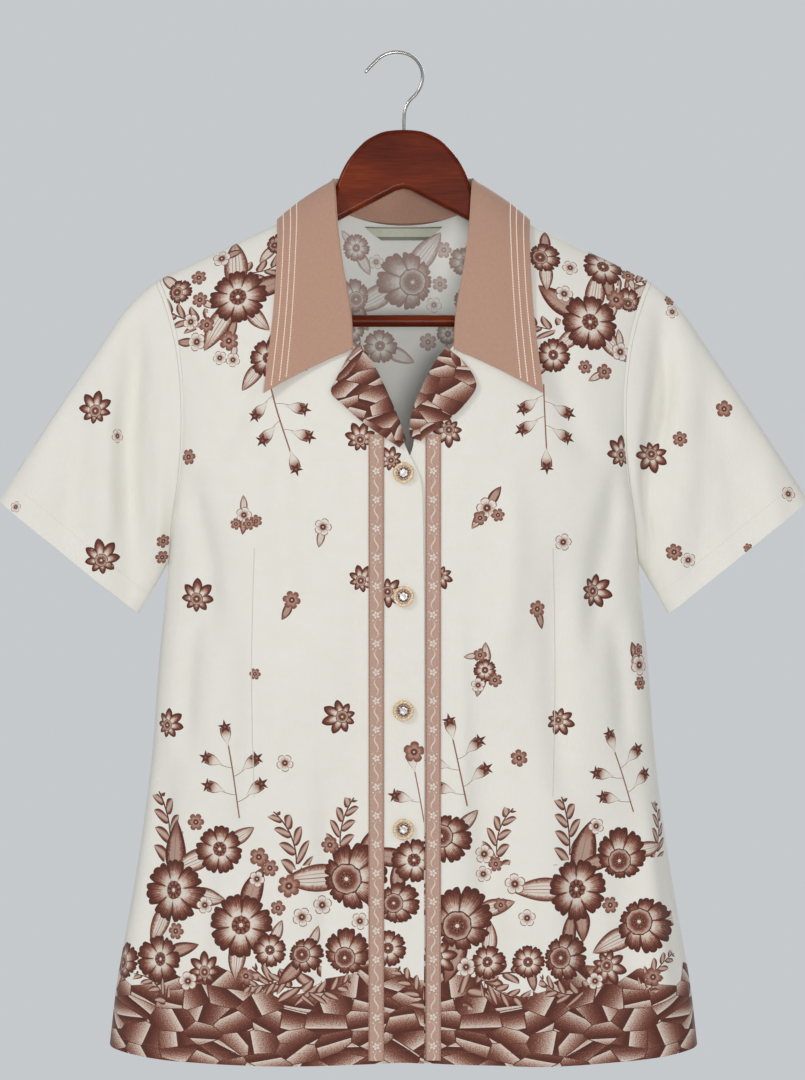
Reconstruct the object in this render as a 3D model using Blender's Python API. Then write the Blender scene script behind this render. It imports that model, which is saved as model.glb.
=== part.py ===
"""A short-sleeved button-down blouse on a wooden hanger with a trouser bar and a steel hook.

Metres, +Z up. The origin is inside the crown of the hook, where a rail holds it. The wearer would face -Y,
so the wearer's right front, which laps over the left one, is on the -X side. Each cloth piece is a wall
round a grid of points: rows run across the body and columns run up it. Tables are in millimetres, and their
first line names the columns. "out" is the distance from the centre line of the body to the piece's own side.
"""

import math

import bpy
import numpy as np

MM = 0.001
CLOTH = 1.3
TRIM = 1.0
SEAM_GAP = 0.3
LAY_GAP = 0.35
LAPEL_GAP = 0.7
RIBBON_GAP = 0.5

HEM = -797.0
HEM_DROP = 3.5
HEM_CORNER = 5.0
UNDERARM = -405.0
SIDE_POWER = 2.6

LAP_EDGE = 16.0
UNDER_RECESS = 2.4
RECESS_WIDTH = (17.0, 42.0)

RIBBON_WIDTH = 12.0
RIBBON_START_RIGHT = 15.3
RIBBON_START_LEFT = 17.2

BUTTON_HEIGHTS = (-336.0, -432.5, -522.0, -615.0)

ARCH_THICK = 12.0
ARCH_ROUND = 3.7
BAR_RADIUS = 4.75
BAR_HEIGHT = -213.2
BAR_SOCKET = 154.0
WIRE_RADIUS = 1.32

COLOURS = {
    "cream cloth": ((0.76, 0.73, 0.66), 0.85, 0.0),
    "rose collar": ((0.49, 0.30, 0.22), 0.8, 0.0),
    "printed lapel": ((0.30, 0.15, 0.10), 0.85, 0.0),
    "rose ribbon": ((0.42, 0.25, 0.20), 0.6, 0.0),
    "pale label": ((0.55, 0.58, 0.48), 0.6, 0.0),
    "amber button": ((0.60, 0.42, 0.24), 0.3, 0.0),
    "mahogany": ((0.13, 0.025, 0.015), 0.25, 0.0),
    "steel wire": ((0.55, 0.53, 0.50), 0.3, 1.0),
}


def table(columns, *rows):
    """A dictionary with one array for each named column."""
    values = np.array(rows, float)
    return {name: values[:, i] for i, name in enumerate(columns.split())}


SIDE_SEAM = table(
    "z out front back",
    (-797, 234.5, 57, 56),
    (-740, 228.0, 55, 54),
    (-676, 217.0, 53, 51),
    (-612, 207.0, 52, 48),
    (-548, 199.5, 53, 46),
    (-484, 195.0, 56, 48),
    (-436, 190.0, 58, 52),
    (-405, 187.5, 59, 55),
)

ARMHOLE = table(
    "out z front back",
    (187.5, -405.0, 0.15, 0.15),
    (183.5, -372.0, 15.0, 15.0),
    (178.0, -341.0, 22.0, 23.0),
    (175.0, -314.0, 25.5, 26.0),
    (174.0, -290.0, 27.0, 27.0),
    (174.3, -268.0, 26.0, 26.0),
    (176.0, -248.0, 24.0, 24.0),
    (178.5, -231.0, 21.5, 21.5),
    (182.0, -216.0, 18.5, 18.5),
    (185.5, -204.0, 15.5, 15.5),
    (188.7, -195.0, 12.5, 12.5),
    (191.0, -189.0, 10.5, 10.5),
    (192.6, -185.5, 8.8, 8.8),
    (193.6, -182.8, 6.8, 6.8),
    (194.2, -180.9, 4.0, 4.0),
    (194.4, -180.2, 0.15, 0.15),
)

FRONT_EDGE_RIGHT = table(
    "out z front",
    (-15.5, -405.0, 59.0),
    (-15.0, -372.0, 59.0),
    (-13.0, -341.0, 59.0),
    (-3.0, -318.5, 58.5),
    (3.6, -303.0, 58.0),
    (10.3, -286.5, 57.0),
    (18.8, -267.0, 55.0),
    (27.0, -249.0, 52.0),
    (43.0, -230.0, 48.0),
    (47.5, -205.0, 41.0),
    (53.0, -175.0, 32.0),
    (58.0, -150.0, 23.0),
    (60.5, -134.0, 15.5),
    (61.6, -124.0, 9.8),
    (61.9, -119.5, 5.5),
    (62.0, -118.0, 0.15),
)

FRONT_EDGE_LEFT = table(
    "out z front",
    (-15.5, -405.0, 59.0),
    (-15.0, -372.0, 59.0),
    (-11.0, -341.0, 59.0),
    (5.5, -321.0, 58.5),
    (9.0, -303.0, 58.0),
    (11.5, -286.5, 57.0),
    (18.8, -267.0, 55.0),
    (28.0, -249.0, 52.0),
    (43.0, -230.0, 48.0),
    (47.5, -205.0, 41.0),
    (53.0, -175.0, 32.0),
    (58.0, -150.0, 23.0),
    (60.5, -134.0, 15.5),
    (61.6, -124.0, 9.8),
    (61.9, -119.5, 5.5),
    (62.0, -118.0, 0.15),
)

BACK_LINE = table(
    "centre_z centre_back neck_out neck_z neck_back edge",
    (-405.0, 55.0, 56.0, -405.0, 53.8, 1.00),
    (-372.0, 55.2, 56.0, -372.0, 54.0, 1.00),
    (-341.0, 55.3, 56.0, -341.0, 54.1, 1.00),
    (-314.0, 55.3, 56.5, -314.0, 54.0, 1.00),
    (-290.0, 55.2, 57.0, -289.0, 53.5, 1.00),
    (-267.0, 55.0, 57.5, -265.0, 52.5, 1.00),
    (-246.0, 54.5, 58.0, -242.0, 50.5, 1.00),
    (-227.0, 53.5, 58.5, -221.0, 47.5, 1.00),
    (-209.0, 52.3, 59.0, -200.0, 43.0, 1.00),
    (-192.0, 50.8, 59.5, -179.0, 36.5, 0.95),
    (-176.0, 49.2, 60.0, -160.0, 28.5, 0.85),
    (-162.0, 47.6, 60.5, -144.5, 21.0, 0.75),
    (-150.0, 46.2, 61.0, -132.5, 14.5, 0.65),
    (-141.0, 45.0, 61.6, -124.0, 9.8, 0.60),
    (-135.0, 44.3, 61.9, -119.5, 5.5, 0.57),
    (-132.5, 44.0, 62.0, -118.0, 0.15, 0.55),
)

LOWER_ROWS = (-797, -775, -745, -710, -670, -630, -590, -550, -510, -470, -435)

FOLDS = table(
    "x y_side width depth low high",
    (-150.0, -1, 16.0, 5.0, -800, -560),
    (-78.0, -1, 20.0, -4.0, -760, -420),
    (-45.0, -1, 12.0, 3.0, -700, -380),
    (62.0, -1, 16.0, 3.6, -800, -480),
    (112.0, -1, 20.0, -4.0, -800, -520),
    (172.0, -1, 14.0, 5.0, -800, -600),
    (-120.0, 1, 20.0, 3.5, -800, -480),
    (-40.0, 1, 22.0, -3.0, -800, -420),
    (48.0, 1, 20.0, 3.2, -800, -450),
    (135.0, 1, 18.0, 3.4, -800, -560),
)

SLEEVE_TOP = table(
    "v out z",
    (0.00, 194.4, -180.2),
    (0.12, 208.5, -191.0),
    (0.25, 224.5, -208.5),
    (0.40, 243.0, -236.0),
    (0.60, 269.0, -274.0),
    (0.80, 296.5, -315.5),
    (1.00, 323.0, -357.0),
)
SLEEVE_BOTTOM = table(
    "v out z",
    (0.00, 187.5, -405.0),
    (0.50, 199.0, -425.0),
    (1.00, 212.0, -447.0),
)
SLEEVE_RINGS = (0.0, 0.07, 0.15, 0.25, 0.37, 0.5, 0.63, 0.76, 0.88, 1.0)
SLEEVE_HEM_HALF = 16.0
SLEEVE_FOLDS = table(
    "x width depth low high",
    (-217.0, 15.0, 7.0, -430, -215),
    (-262.0, 14.0, 3.5, -400, -265),
    (203.0, 11.0, 7.0, -345, -205),
    (236.0, 16.0, 4.5, -440, -250),
    (276.0, 13.0, 3.0, -400, -290),
)

COLLAR = table(
    "u seam_x seam_y seam_z fold_x fold_y fold_z edge_x edge_y edge_z",
    (0.00, 0.0, 42.3, -131.0, 0.0, 42.5, -94.0, 0.0, 58.0, -148.0),
    (0.12, 21.0, 39.8, -130.0, 19.0, 40.3, -94.3, 26.0, 57.0, -148.0),
    (0.24, 39.0, 32.0, -127.0, 36.5, 33.5, -95.5, 52.0, 50.0, -147.0),
    (0.36, 52.5, 20.0, -122.0, 49.5, 21.5, -97.3, 78.0, 36.0, -142.0),
    (0.46, 59.6, 8.5, -116.8, 55.0, 9.0, -98.8, 95.0, 17.0, -135.0),
    (0.54, 60.4, -2.5, -116.6, 56.0, -3.5, -100.5, 100.5, -1.0, -132.2),
    (0.62, 59.0, -12.5, -129.0, 55.2, -14.5, -111.0, 100.0, -16.0, -144.0),
    (0.72, 55.5, -23.5, -151.0, 53.4, -26.5, -137.0, 100.5, -30.0, -172.0),
    (0.82, 49.5, -34.0, -183.0, 49.0, -37.0, -171.0, 102.5, -40.0, -209.0),
    (0.91, 42.5, -41.5, -210.0, 43.0, -45.0, -206.0, 106.0, -50.0, -243.0),
    (1.00, 42.5, -51.0, -233.0, 41.0, -53.0, -238.0, 109.5, -57.0, -273.5),
)
COLLAR_SPANS = 22
FOLD_RISE = 1.6
LEAF_STEPS = (0.0, 0.14, 0.32, 0.52, 0.76, 1.0)
LEAF_CLEAR = 2.6

LAPEL_RIGHT = table(
    "roll_out roll_z tip_out tip_z",
    (-0.5, -312.0, 3.0, -316.2),
    (3.5, -299.5, 14.0, -309.0),
    (9.0, -286.5, 30.5, -297.5),
    (15.8, -271.0, 47.0, -283.0),
    (21.5, -259.0, 56.6, -272.8),
    (28.0, -247.5, 52.5, -262.5),
    (36.0, -235.5, 44.0, -246.0),
)
LAPEL_LEFT = table(
    "roll_out roll_z tip_out tip_z",
    (7.2, -309.0, 13.5, -311.0),
    (6.8, -299.5, 20.5, -305.0),
    (9.5, -286.5, 34.0, -295.5),
    (15.8, -271.0, 49.0, -281.0),
    (21.5, -259.0, 57.0, -268.0),
    (28.0, -247.5, 52.5, -256.0),
    (35.0, -238.5, 46.0, -247.5),
)
LAPEL_LIFTS = (2.3, 2.7, 3.2, 3.5)

ARCH_TOP = table(
    "x z",
    (0.0, -60.5),
    (9.0, -61.0),
    (18.0, -62.8),
    (29.0, -68.4),
    (36.0, -74.8),
    (41.6, -81.2),
    (46.0, -87.6),
    (50.0, -95.5),
    (53.0, -103.5),
    (55.6, -111.0),
    (57.6, -117.8),
    (62.0, -121.0),
    (184.0, -177.4),
)
ARCH_LOW = table(
    "x z",
    (187.0, -183.0),
    (187.0, -196.0),
    (181.0, -216.0),
    (172.0, -228.0),
    (162.0, -230.0),
    (154.0, -224.0),
    (154.0, -203.0),
    (140.0, -190.0),
    (100.0, -164.0),
    (54.0, -134.0),
    (6.0, -108.8),
    (0.0, -107.4),
)

HOOK = table(
    "x z",
    (-30.8, -14.6),
    (-25.5, -8.8),
    (-18.5, -2.2),
    (-12.0, 0.9),
    (-5.2, 1.9),
    (3.5, 0.2),
    (10.5, -4.8),
    (14.8, -13.0),
    (14.6, -22.5),
    (10.5, -31.0),
    (4.5, -37.5),
    (1.2, -44.5),
    (0.4, -52.0),
    (0.4, -60.0),
)

LABEL = table(
    "z half",
    (-134.0, 31.5),
    (-139.0, 26.0),
    (-144.5, 18.0),
)

BUTTON = table(
    "radius height",
    (0.0, 0.0),
    (7.0, 0.0),
    (8.2, 1.0),
    (8.2, 2.2),
    (7.2, 3.1),
    (5.8, 2.9),
    (4.9, 1.9),
    (0.0, 1.7),
)
BUTTON_SIDES = 20


def smooth_through(x, y, at):
    """y at the given x values, on a curve through all the points whose slope at each is its neighbours'."""
    slopes = np.gradient(y, x)
    k = np.clip(np.searchsorted(x, at, side="right") - 1, 0, len(x) - 2)
    span = x[k + 1] - x[k]
    t = (at - x[k]) / span
    start, end = slopes[k] * span, slopes[k + 1] * span
    low, high = y[k], y[k + 1]
    return (
        (2 * t**3 - 3 * t**2 + 1) * low
        + (t**3 - 2 * t**2 + t) * start
        + (3 * t**2 - 2 * t**3) * high
        + (t**3 - t**2) * end
    )


def ease(low, high, value):
    """0 below low and 1 above high, with a smooth rise between them."""
    t = np.clip((value - low) / (high - low), 0, 1)
    return t * t * (3 - 2 * t)


def unit(vectors):
    return vectors / np.maximum(np.linalg.norm(vectors, axis=-1, keepdims=True), 1e-12)


def normals_of(grid, ring=False):
    """The unit normal at each point of a grid, from its neighbours in the row and the column."""
    if ring:
        wide = np.concatenate([grid[:, -1:], grid, grid[:, :1]], axis=1)
        across = (wide[:, 2:] - wide[:, :-2]) / 2
    else:
        across = np.gradient(grid, axis=1)
    up = np.gradient(grid, axis=0)
    return unit(np.cross(across, up))


def flatten_normals(normals, axis):
    """Takes one axis out of these normals and lengthens them, so that the wall keeps its thickness."""
    flat = normals.copy()
    flat[..., axis] = 0
    length = np.maximum(np.linalg.norm(flat, axis=-1, keepdims=True), 0.6)
    return unit(flat) / length


def make_material(name):
    colour, roughness, metallic = COLOURS[name]
    material = bpy.data.materials.get(name) or bpy.data.materials.new(name)
    material.use_nodes = True
    shader = material.node_tree.nodes["Principled BSDF"]
    shader.inputs["Base Color"].default_value = (*colour, 1.0)
    shader.inputs["Roughness"].default_value = roughness
    shader.inputs["Metallic"].default_value = metallic
    return material


def add_solid(name, points, faces, finish):
    """One closed mesh object from points in millimetres, turned so that its faces point out."""
    corners = points[np.array([(f[0], f[1], f[2]) for f in faces])]
    fans = [points[np.array([(f[0], f[2], f[3]) for f in faces if len(f) == 4])]]
    pieces = np.concatenate([corners] + [fan for fan in fans if len(fan)])
    if np.linalg.det(pieces - points.mean(axis=0)).sum() < 0:
        faces = [tuple(reversed(f)) for f in faces]
    mesh = bpy.data.meshes.new(name)
    mesh.from_pydata((points * MM).tolist(), [], faces)
    mesh.validate()
    mesh.shade_smooth()
    mesh.set_sharp_from_angle(angle=math.radians(40))
    body = bpy.data.objects.new(name, mesh)
    mesh.materials.append(make_material(finish))
    bpy.context.scene.collection.objects.link(body)
    return body


def add_wall(name, grid, thickness, finish, normals=None, ring=False):
    """A closed wall of this thickness with the grid as its middle, open at its ends, and round if ring."""
    rows, columns = grid.shape[:2]
    if normals is None:
        normals = normals_of(grid, ring)
    offset = normals * thickness / 2
    points = np.concatenate([(grid + offset).reshape(-1, 3), (grid - offset).reshape(-1, 3)])
    index = np.arange(rows * columns).reshape(rows, columns)
    back = index + rows * columns
    faces = []
    spans = columns if ring else columns - 1
    for i in range(rows - 1):
        for j in range(spans):
            k = (j + 1) % columns
            faces.append((index[i, j], index[i, k], index[i + 1, k], index[i + 1, j]))
            faces.append((back[i, j], back[i + 1, j], back[i + 1, k], back[i, k]))
    for j in range(spans):
        k = (j + 1) % columns
        faces.append((index[0, j], back[0, j], back[0, k], index[0, k]))
        faces.append((index[-1, j], index[-1, k], back[-1, k], back[-1, j]))
    if not ring:
        for i in range(rows - 1):
            faces.append((index[i, 0], index[i + 1, 0], back[i + 1, 0], back[i, 0]))
            faces.append((index[i, -1], back[i, -1], back[i + 1, -1], index[i + 1, -1]))
    return add_solid(name, points, [tuple(int(c) for c in f) for f in faces], finish)


def fold_push(grid, side):
    """How far the soft vertical folds of one side of the body move each point along Y."""
    x, z = grid[..., 0], grid[..., 2]
    push = np.zeros_like(x)
    for i in range(len(FOLDS["x"])):
        if FOLDS["y_side"][i] != side:
            continue
        shape = np.exp(-(((x - FOLDS["x"][i]) / FOLDS["width"][i]) ** 2))
        fade = ease(FOLDS["low"][i] - 60, FOLDS["low"][i] + 10, z)
        fade = fade * (1 - ease(FOLDS["high"][i] - 90, FOLDS["high"][i], z))
        push -= side * FOLDS["depth"][i] * shape * fade
    return push


def hem_height(fraction):
    """The hem hangs lower in mid panel than at the centre, and turns up at the side seam."""
    return HEM - HEM_DROP * np.sin(np.pi * np.clip(fraction, 0, 1)) + HEM_CORNER * fraction**8


def lower_rows(edge_out, steps, side):
    """Rows from the hem to just under the armhole: x, z and the depth of a soft round section."""
    heights = np.array(LOWER_ROWS, float)
    order = SIDE_SEAM["z"]
    out = smooth_through(order, SIDE_SEAM["out"], heights)[:, None]
    deep = smooth_through(order, SIDE_SEAM["front" if side < 0 else "back"], heights)[:, None]
    x = edge_out + (out - edge_out) * steps[None, :]
    z = np.repeat(heights[:, None], len(steps), axis=1)
    near_hem = ease(-700, HEM, z)
    z = z + (hem_height(np.abs(x) / out) - HEM) * near_hem
    t = np.clip(x / out, 0, 1)
    depth = 0.15 + (deep - 0.15) * (1 - t**SIDE_POWER) ** 0.5
    return x, z, depth


def front_grid(edge):
    """The front on its own side as (out, depth, z): level rows to the underarm, then rows that fan up to the
    shoulder seam between the front edge, roll line and neck on one side and the armhole on the other."""
    steps = np.array([0, 0.06, 0.14, 0.24, 0.36, 0.48, 0.6, 0.71, 0.81, 0.89, 0.95, 0.985, 1.0])
    x0, z0, d0 = lower_rows(-LAP_EDGE, steps, -1)
    inner_x, inner_z, inner_d = (edge[k][:, None] for k in ("out", "z", "front"))
    outer_x, outer_z, outer_d = (ARMHOLE[k][:, None] for k in ("out", "z", "front"))
    x1 = inner_x + (outer_x - inner_x) * steps
    z1 = inner_z + (outer_z - inner_z) * steps
    soften = np.linspace(0, 1, len(inner_x))[:, None]
    power = 0.5 + 0.45 * ease(0, 0.4, soften)
    t = np.clip(x1 / outer_x, 0, 1)
    t_inner = np.clip(inner_x / outer_x, 0, 1)
    shape = ((1 - t**SIDE_POWER) / (1 - t_inner**SIDE_POWER)) ** power
    d1 = outer_d + (inner_d - outer_d) * shape
    return np.stack([np.concatenate(p) for p in ((x0, x1), (d0, d1), (z0, z1))], axis=-1)


def same_way(vectors, guides):
    """These vectors, each turned round where it points against its guide."""
    return vectors * np.sign((vectors * guides).sum(-1, keepdims=True) + 1e-9)


def turn_side_edge(grid, normals, column):
    """Turns a panel's normals at its side seam and armhole, so that its cut edge meets the next piece."""
    top = len(ARMHOLE["z"])
    normals[:-top, column] = flatten_normals(normals[:-top, column], 1)
    normals[-top:, column] = same_way(ring_normals(grid[-top:, column]), normals[-top:, column])


def ring_normals(edge):
    """Normals across X of an armhole edge, along which both the panel and the sleeve are cut."""
    run = np.gradient(edge, axis=0)
    flat = np.stack([np.zeros(len(edge)), -run[:, 2], run[:, 1]], axis=-1)
    flat = unit(flat)
    flat[0] = (0, 0, np.sign(flat[0, 2]) or 1)
    flat[-1] = (0, 0, np.sign(flat[-1, 2]) or 1)
    return flat


def placed(own, side_x, side_y):
    """A grid of (out, depth, z) put on its own side of the body."""
    return own * np.array([side_x, side_y, 1.0])


def make_front(name, side_x, edge, under):
    own = front_grid(edge)
    grid = placed(own, side_x, -1)
    grid[..., 1] += fold_push(grid, -1) * (1 - ease(0.86, 1.0, own[..., 0] / own[:, -1:, 0]))
    if under:
        recess = UNDER_RECESS * (1 - ease(*RECESS_WIDTH, own[..., 0]))
        fade = 1 - ease(-330, -285, own[..., 2])
        grid[..., 1] += recess * fade
    normals = normals_of(grid)
    turn_side_edge(grid, normals, -1)
    normals[-1, :-1] = flatten_normals(normals[-1, :-1], 1)
    add_wall(name, grid, CLOTH, "cream cloth", normals)
    return grid


def back_grid():
    """Half of the back as (out, depth, z), from the centre line past the neck point to the side."""
    steps = np.array([0, 0.08, 0.17, 0.28, 0.4, 0.52, 0.64, 0.75, 0.84, 0.92, 0.97, 1.0])
    neck_share = np.array([0, 0.22, 0.42, 0.6, 0.76, 0.9])
    neck_out = BACK_LINE["neck_out"][0]
    side_out = smooth_through(SIDE_SEAM["z"], SIDE_SEAM["out"], np.array([UNDERARM]))[0]
    fraction = neck_out / side_out
    all_steps = np.concatenate([neck_share * fraction, fraction + steps * (1 - fraction)])
    x0, z0, d0 = lower_rows(0.0, all_steps, 1)
    line = {name: values[:, None] for name, values in BACK_LINE.items()}
    outer_x, outer_z, outer_d = (ARMHOLE[k][:, None] for k in ("out", "z", "back"))
    xa = line["neck_out"] * neck_share
    za = line["centre_z"] + (line["neck_z"] - line["centre_z"]) * neck_share**2
    da = line["neck_back"] + (line["centre_back"] - line["neck_back"]) * (1 - neck_share**2.4) ** line["edge"]
    xb = line["neck_out"] + (outer_x - line["neck_out"]) * steps
    zb = line["neck_z"] + (outer_z - line["neck_z"]) * steps
    power = 0.5 + 0.45 * ease(0, 0.4, np.linspace(0, 1, len(outer_x))[:, None])
    t, t_neck = xb / outer_x, line["neck_out"] / outer_x
    shape = ((1 - t**SIDE_POWER) / (1 - t_neck**SIDE_POWER)) ** power
    db = outer_d + (line["neck_back"] - outer_d) * shape
    x1, z1, d1 = (np.concatenate(p, axis=1) for p in ((xa, xb), (za, zb), (da, db)))
    return np.stack([np.concatenate(p) for p in ((x0, x1), (d0, d1), (z0, z1))], axis=-1)


def make_back():
    half = back_grid()
    right, left = placed(half, -1, 1), placed(half, 1, 1)
    grid = np.concatenate([left[:, ::-1], right[:, 1:]], axis=1)
    reach = np.abs(grid[..., 0]) / np.abs(grid[:, -1:, 0])
    grid[..., 1] += fold_push(grid, 1) * (1 - ease(0.86, 1.0, reach))
    normals = normals_of(grid)
    for column in (0, -1):
        turn_side_edge(grid, normals, column)
    shoulder = np.abs(grid[-1, :, 0]) > BACK_LINE["neck_out"][-1] - 0.5
    normals[-1, shoulder] = flatten_normals(normals[-1, shoulder], 1)
    add_wall("back", grid, CLOTH, "cream cloth", normals)
    return grid


def depth_on(grid, x, z):
    """The Y of a grid at points given by x and z, read from its triangles as seen along Y."""
    a, b, c, d = grid[:-1, :-1], grid[:-1, 1:], grid[1:, 1:], grid[1:, :-1]
    faces = np.concatenate([
        np.stack([a, b, c], axis=2).reshape(-1, 3, 3),
        np.stack([a, c, d], axis=2).reshape(-1, 3, 3),
    ])
    p, q, r = faces[:, 0], faces[:, 1] - faces[:, 0], faces[:, 2] - faces[:, 0]
    area = q[:, 0] * r[:, 2] - q[:, 2] * r[:, 0]
    area = np.where(np.abs(area) < 1e-9, 1e-9, area)
    shape = np.broadcast(x, z).shape
    spots = np.stack([np.broadcast_to(x, shape).ravel(), np.broadcast_to(z, shape).ravel()], axis=-1)
    heights = np.empty(len(spots))
    for i, (px, pz) in enumerate(spots):
        dx, dz = px - p[:, 0], pz - p[:, 2]
        s = (dx * r[:, 2] - dz * r[:, 0]) / area
        t = (q[:, 0] * dz - q[:, 2] * dx) / area
        outside = np.maximum(np.maximum(-s, -t), s + t - 1)
        k = int(np.argmin(outside))
        heights[i] = p[k, 1] + s[k] * q[k, 1] + t[k] * r[k, 1]
    return heights.reshape(shape)


def make_sleeve(name, side_x):
    """A tube of rings from the armhole to the hem. Each ring is worked out along and across the line between
    the sleeve's top fold and its underarm seam, and turns from the armhole's own shape to a flat oval."""
    front = np.stack([ARMHOLE["out"], -ARMHOLE["front"], ARMHOLE["z"]], axis=-1)[::-1]
    back = np.stack([ARMHOLE["out"], ARMHOLE["back"], ARMHOLE["z"]], axis=-1)[::-1]
    top, bottom = front[0] * (1, 0, 1), front[-1] * (1, 0, 1)
    ring = np.concatenate([[top], front[1:-1], [bottom], back[1:-1][::-1]])
    axis = bottom - top
    length = np.linalg.norm(axis)
    axis = axis / length
    across = np.array([-axis[2], 0.0, axis[0]])
    along_0 = (ring - top) @ axis / length
    bulge_0 = (ring - top) @ across
    half = len(front)
    steps = np.concatenate([np.linspace(0, 1, half), np.linspace(1, 0, half)[1:-1]])
    signs = np.where(np.arange(len(ring)) < half, -1.0, 1.0)
    along_1 = (1 - np.cos(np.pi * steps)) / 2 * 0.35 + steps * 0.65
    depth_1 = signs * SLEEVE_HEM_HALF * np.maximum(1 - np.abs(2 * along_1 - 1) ** 2.4, 0) ** 0.5
    rings = []
    for v in SLEEVE_RINGS:
        at = np.array([v])
        head = np.array([smooth_through(SLEEVE_TOP["v"], SLEEVE_TOP[k], at)[0] for k in ("out", "z")])
        foot = np.array([smooth_through(SLEEVE_BOTTOM["v"], SLEEVE_BOTTOM[k], at)[0] for k in ("out", "z")])
        blend = ease(0, 1, np.array(v) ** 0.8)
        along = along_0 + (along_1 - along_0) * blend
        bulge = bulge_0 * (1 - ease(0, 0.75, v))
        line = foot - head
        side = np.array([-line[1], line[0]]) / np.linalg.norm(line)
        flat = head + along[:, None] * line + bulge[:, None] * side
        depth = ring[:, 1] + (depth_1 - ring[:, 1]) * blend
        rings.append(np.stack([flat[:, 0], depth, flat[:, 1]], axis=-1))
    grid = np.array(rings)
    grid[0] = ring
    grid[..., 0] += SEAM_GAP
    grid[..., 0] *= side_x
    x, z = grid[..., 0], grid[..., 2]
    for i in range(len(SLEEVE_FOLDS["x"])):
        shape = np.exp(-(((x - SLEEVE_FOLDS["x"][i]) / SLEEVE_FOLDS["width"][i]) ** 2))
        low, high = SLEEVE_FOLDS["low"][i], SLEEVE_FOLDS["high"][i]
        fade = ease(low - 40, low + 20, z) * (1 - ease(high - 50, high, z))
        thin = ease(0.02, 0.3, np.array(SLEEVE_RINGS))[:, None]
        room = np.clip(np.abs(grid[..., 1]) / 10, 0, 1)
        grid[..., 1] -= np.sign(grid[..., 1]) * SLEEVE_FOLDS["depth"][i] * shape * fade * thin * room
    normals = normals_of(grid, ring=True)
    rear = ring_normals(np.concatenate([ring[half - 1 :], ring[:1]]))[1:-1]
    normals[0] = same_way(np.concatenate([ring_normals(ring[:half]), rear]), normals[0])
    add_wall(name, grid, CLOTH, "cream cloth", normals, ring=True)
    return grid


def make_collar(fronts, back):
    """One piece round the neck: from the neck seam up to the fold, over it, and down to the outer edge. The
    leaf is laid on the fronts and the back: it is never nearer to them than LEAF_CLEAR."""
    u = np.linspace(0, 1, COLLAR_SPANS + 1)
    seam, fold, edge = (
        np.stack([smooth_through(COLLAR["u"], COLLAR[f"{k}_{a}"], u) for a in "xyz"], axis=-1)
        for k in ("seam", "fold", "edge")
    )
    away = unit((edge - fold) * (1, 1, 0))
    down = np.array([0, 0, -1.0])
    rise = np.minimum(FOLD_RISE, np.linalg.norm(seam - fold, axis=-1) / 3)[:, None]
    section = [seam, (seam + fold) / 2, fold - away * 1.1 + down * rise, fold]
    start = fold + away * 1.5 + down * FOLD_RISE
    for step in LEAF_STEPS:
        point = start + (edge - start) * step
        point = point + away * (2.0 * math.sin(math.pi * step) * 1.5)
        section.append(point)
    half = np.stack(section, axis=1)
    leaf = half[:, 5:]
    front, rear = fronts[1], back
    y_front = depth_on(front, leaf[..., 0], leaf[..., 2]) - LEAF_CLEAR
    y_back = depth_on(rear, leaf[..., 0], leaf[..., 2]) + LEAF_CLEAR
    forward = (u > 0.56)[:, None]
    backward = (u < 0.44)[:, None]
    leaf[..., 1] = np.where(forward, np.minimum(leaf[..., 1], y_front), leaf[..., 1])
    leaf[..., 1] = np.where(backward, np.maximum(leaf[..., 1], y_back), leaf[..., 1])
    mirror = half[::-1] * (-1, 1, 1)
    grid = np.concatenate([mirror[:-1], half])
    add_wall("collar", grid, CLOTH, "rose collar")
    return grid


def make_lapel(name, side_x, shape, front):
    """The turned-back top of a front: from behind its edge, round the roll line, and out over its face."""
    roll = np.stack([shape["roll_out"], shape["roll_z"]], axis=-1)
    tip = np.stack([shape["tip_out"], shape["tip_z"]], axis=-1)
    away = unit(tip - roll)
    stand = CLOTH + LAPEL_GAP
    inside = roll + away * np.minimum(3.5, 0.6 * np.linalg.norm(tip - roll, axis=-1))[:, None]
    beyond = roll - away * 1.8
    columns = [(inside, stand), (roll, stand), (beyond, 0.0)]
    for i, lift in enumerate(LAPEL_LIFTS):
        share = (0.02, 0.3, 0.65, 1.0)[i]
        columns.append((roll + (tip - roll) * share, -lift))
    grid = []
    for spot, lift in columns:
        x = spot[:, 0] * side_x
        y = depth_on(front, x, spot[:, 1]) + lift
        grid.append(np.stack([x, y, spot[:, 1]], axis=-1))
    grid = np.stack(grid, axis=1)
    add_wall(name, grid, CLOTH, "printed lapel")


def make_ribbon(name, side_x, front, start, top):
    """A flat strip laid on a front beside its edge, from under the lapel to the hem."""
    rows = np.concatenate([np.linspace(HEM + 1.0, UNDERARM, 22), np.linspace(UNDERARM, top, 7)[1:]])
    out = start + np.array([0.0, RIBBON_WIDTH])
    x, z = np.meshgrid(out * side_x, rows)
    lift = CLOTH / 2 + TRIM / 2 + RIBBON_GAP
    y = depth_on(front, x, z) - lift
    add_wall(name, np.stack([x, y, z], axis=-1), TRIM, "rose ribbon")


def make_label(back):
    across = np.linspace(-1, 1, 9)
    x = LABEL["half"][:, None] * across
    z = np.repeat(LABEL["z"][:, None], len(across), axis=1)
    y = depth_on(back, x, z) - (CLOTH / 2 + TRIM / 2 + LAY_GAP)
    add_wall("neck_label", np.stack([x, y, z], axis=-1), TRIM, "pale label")


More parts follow.
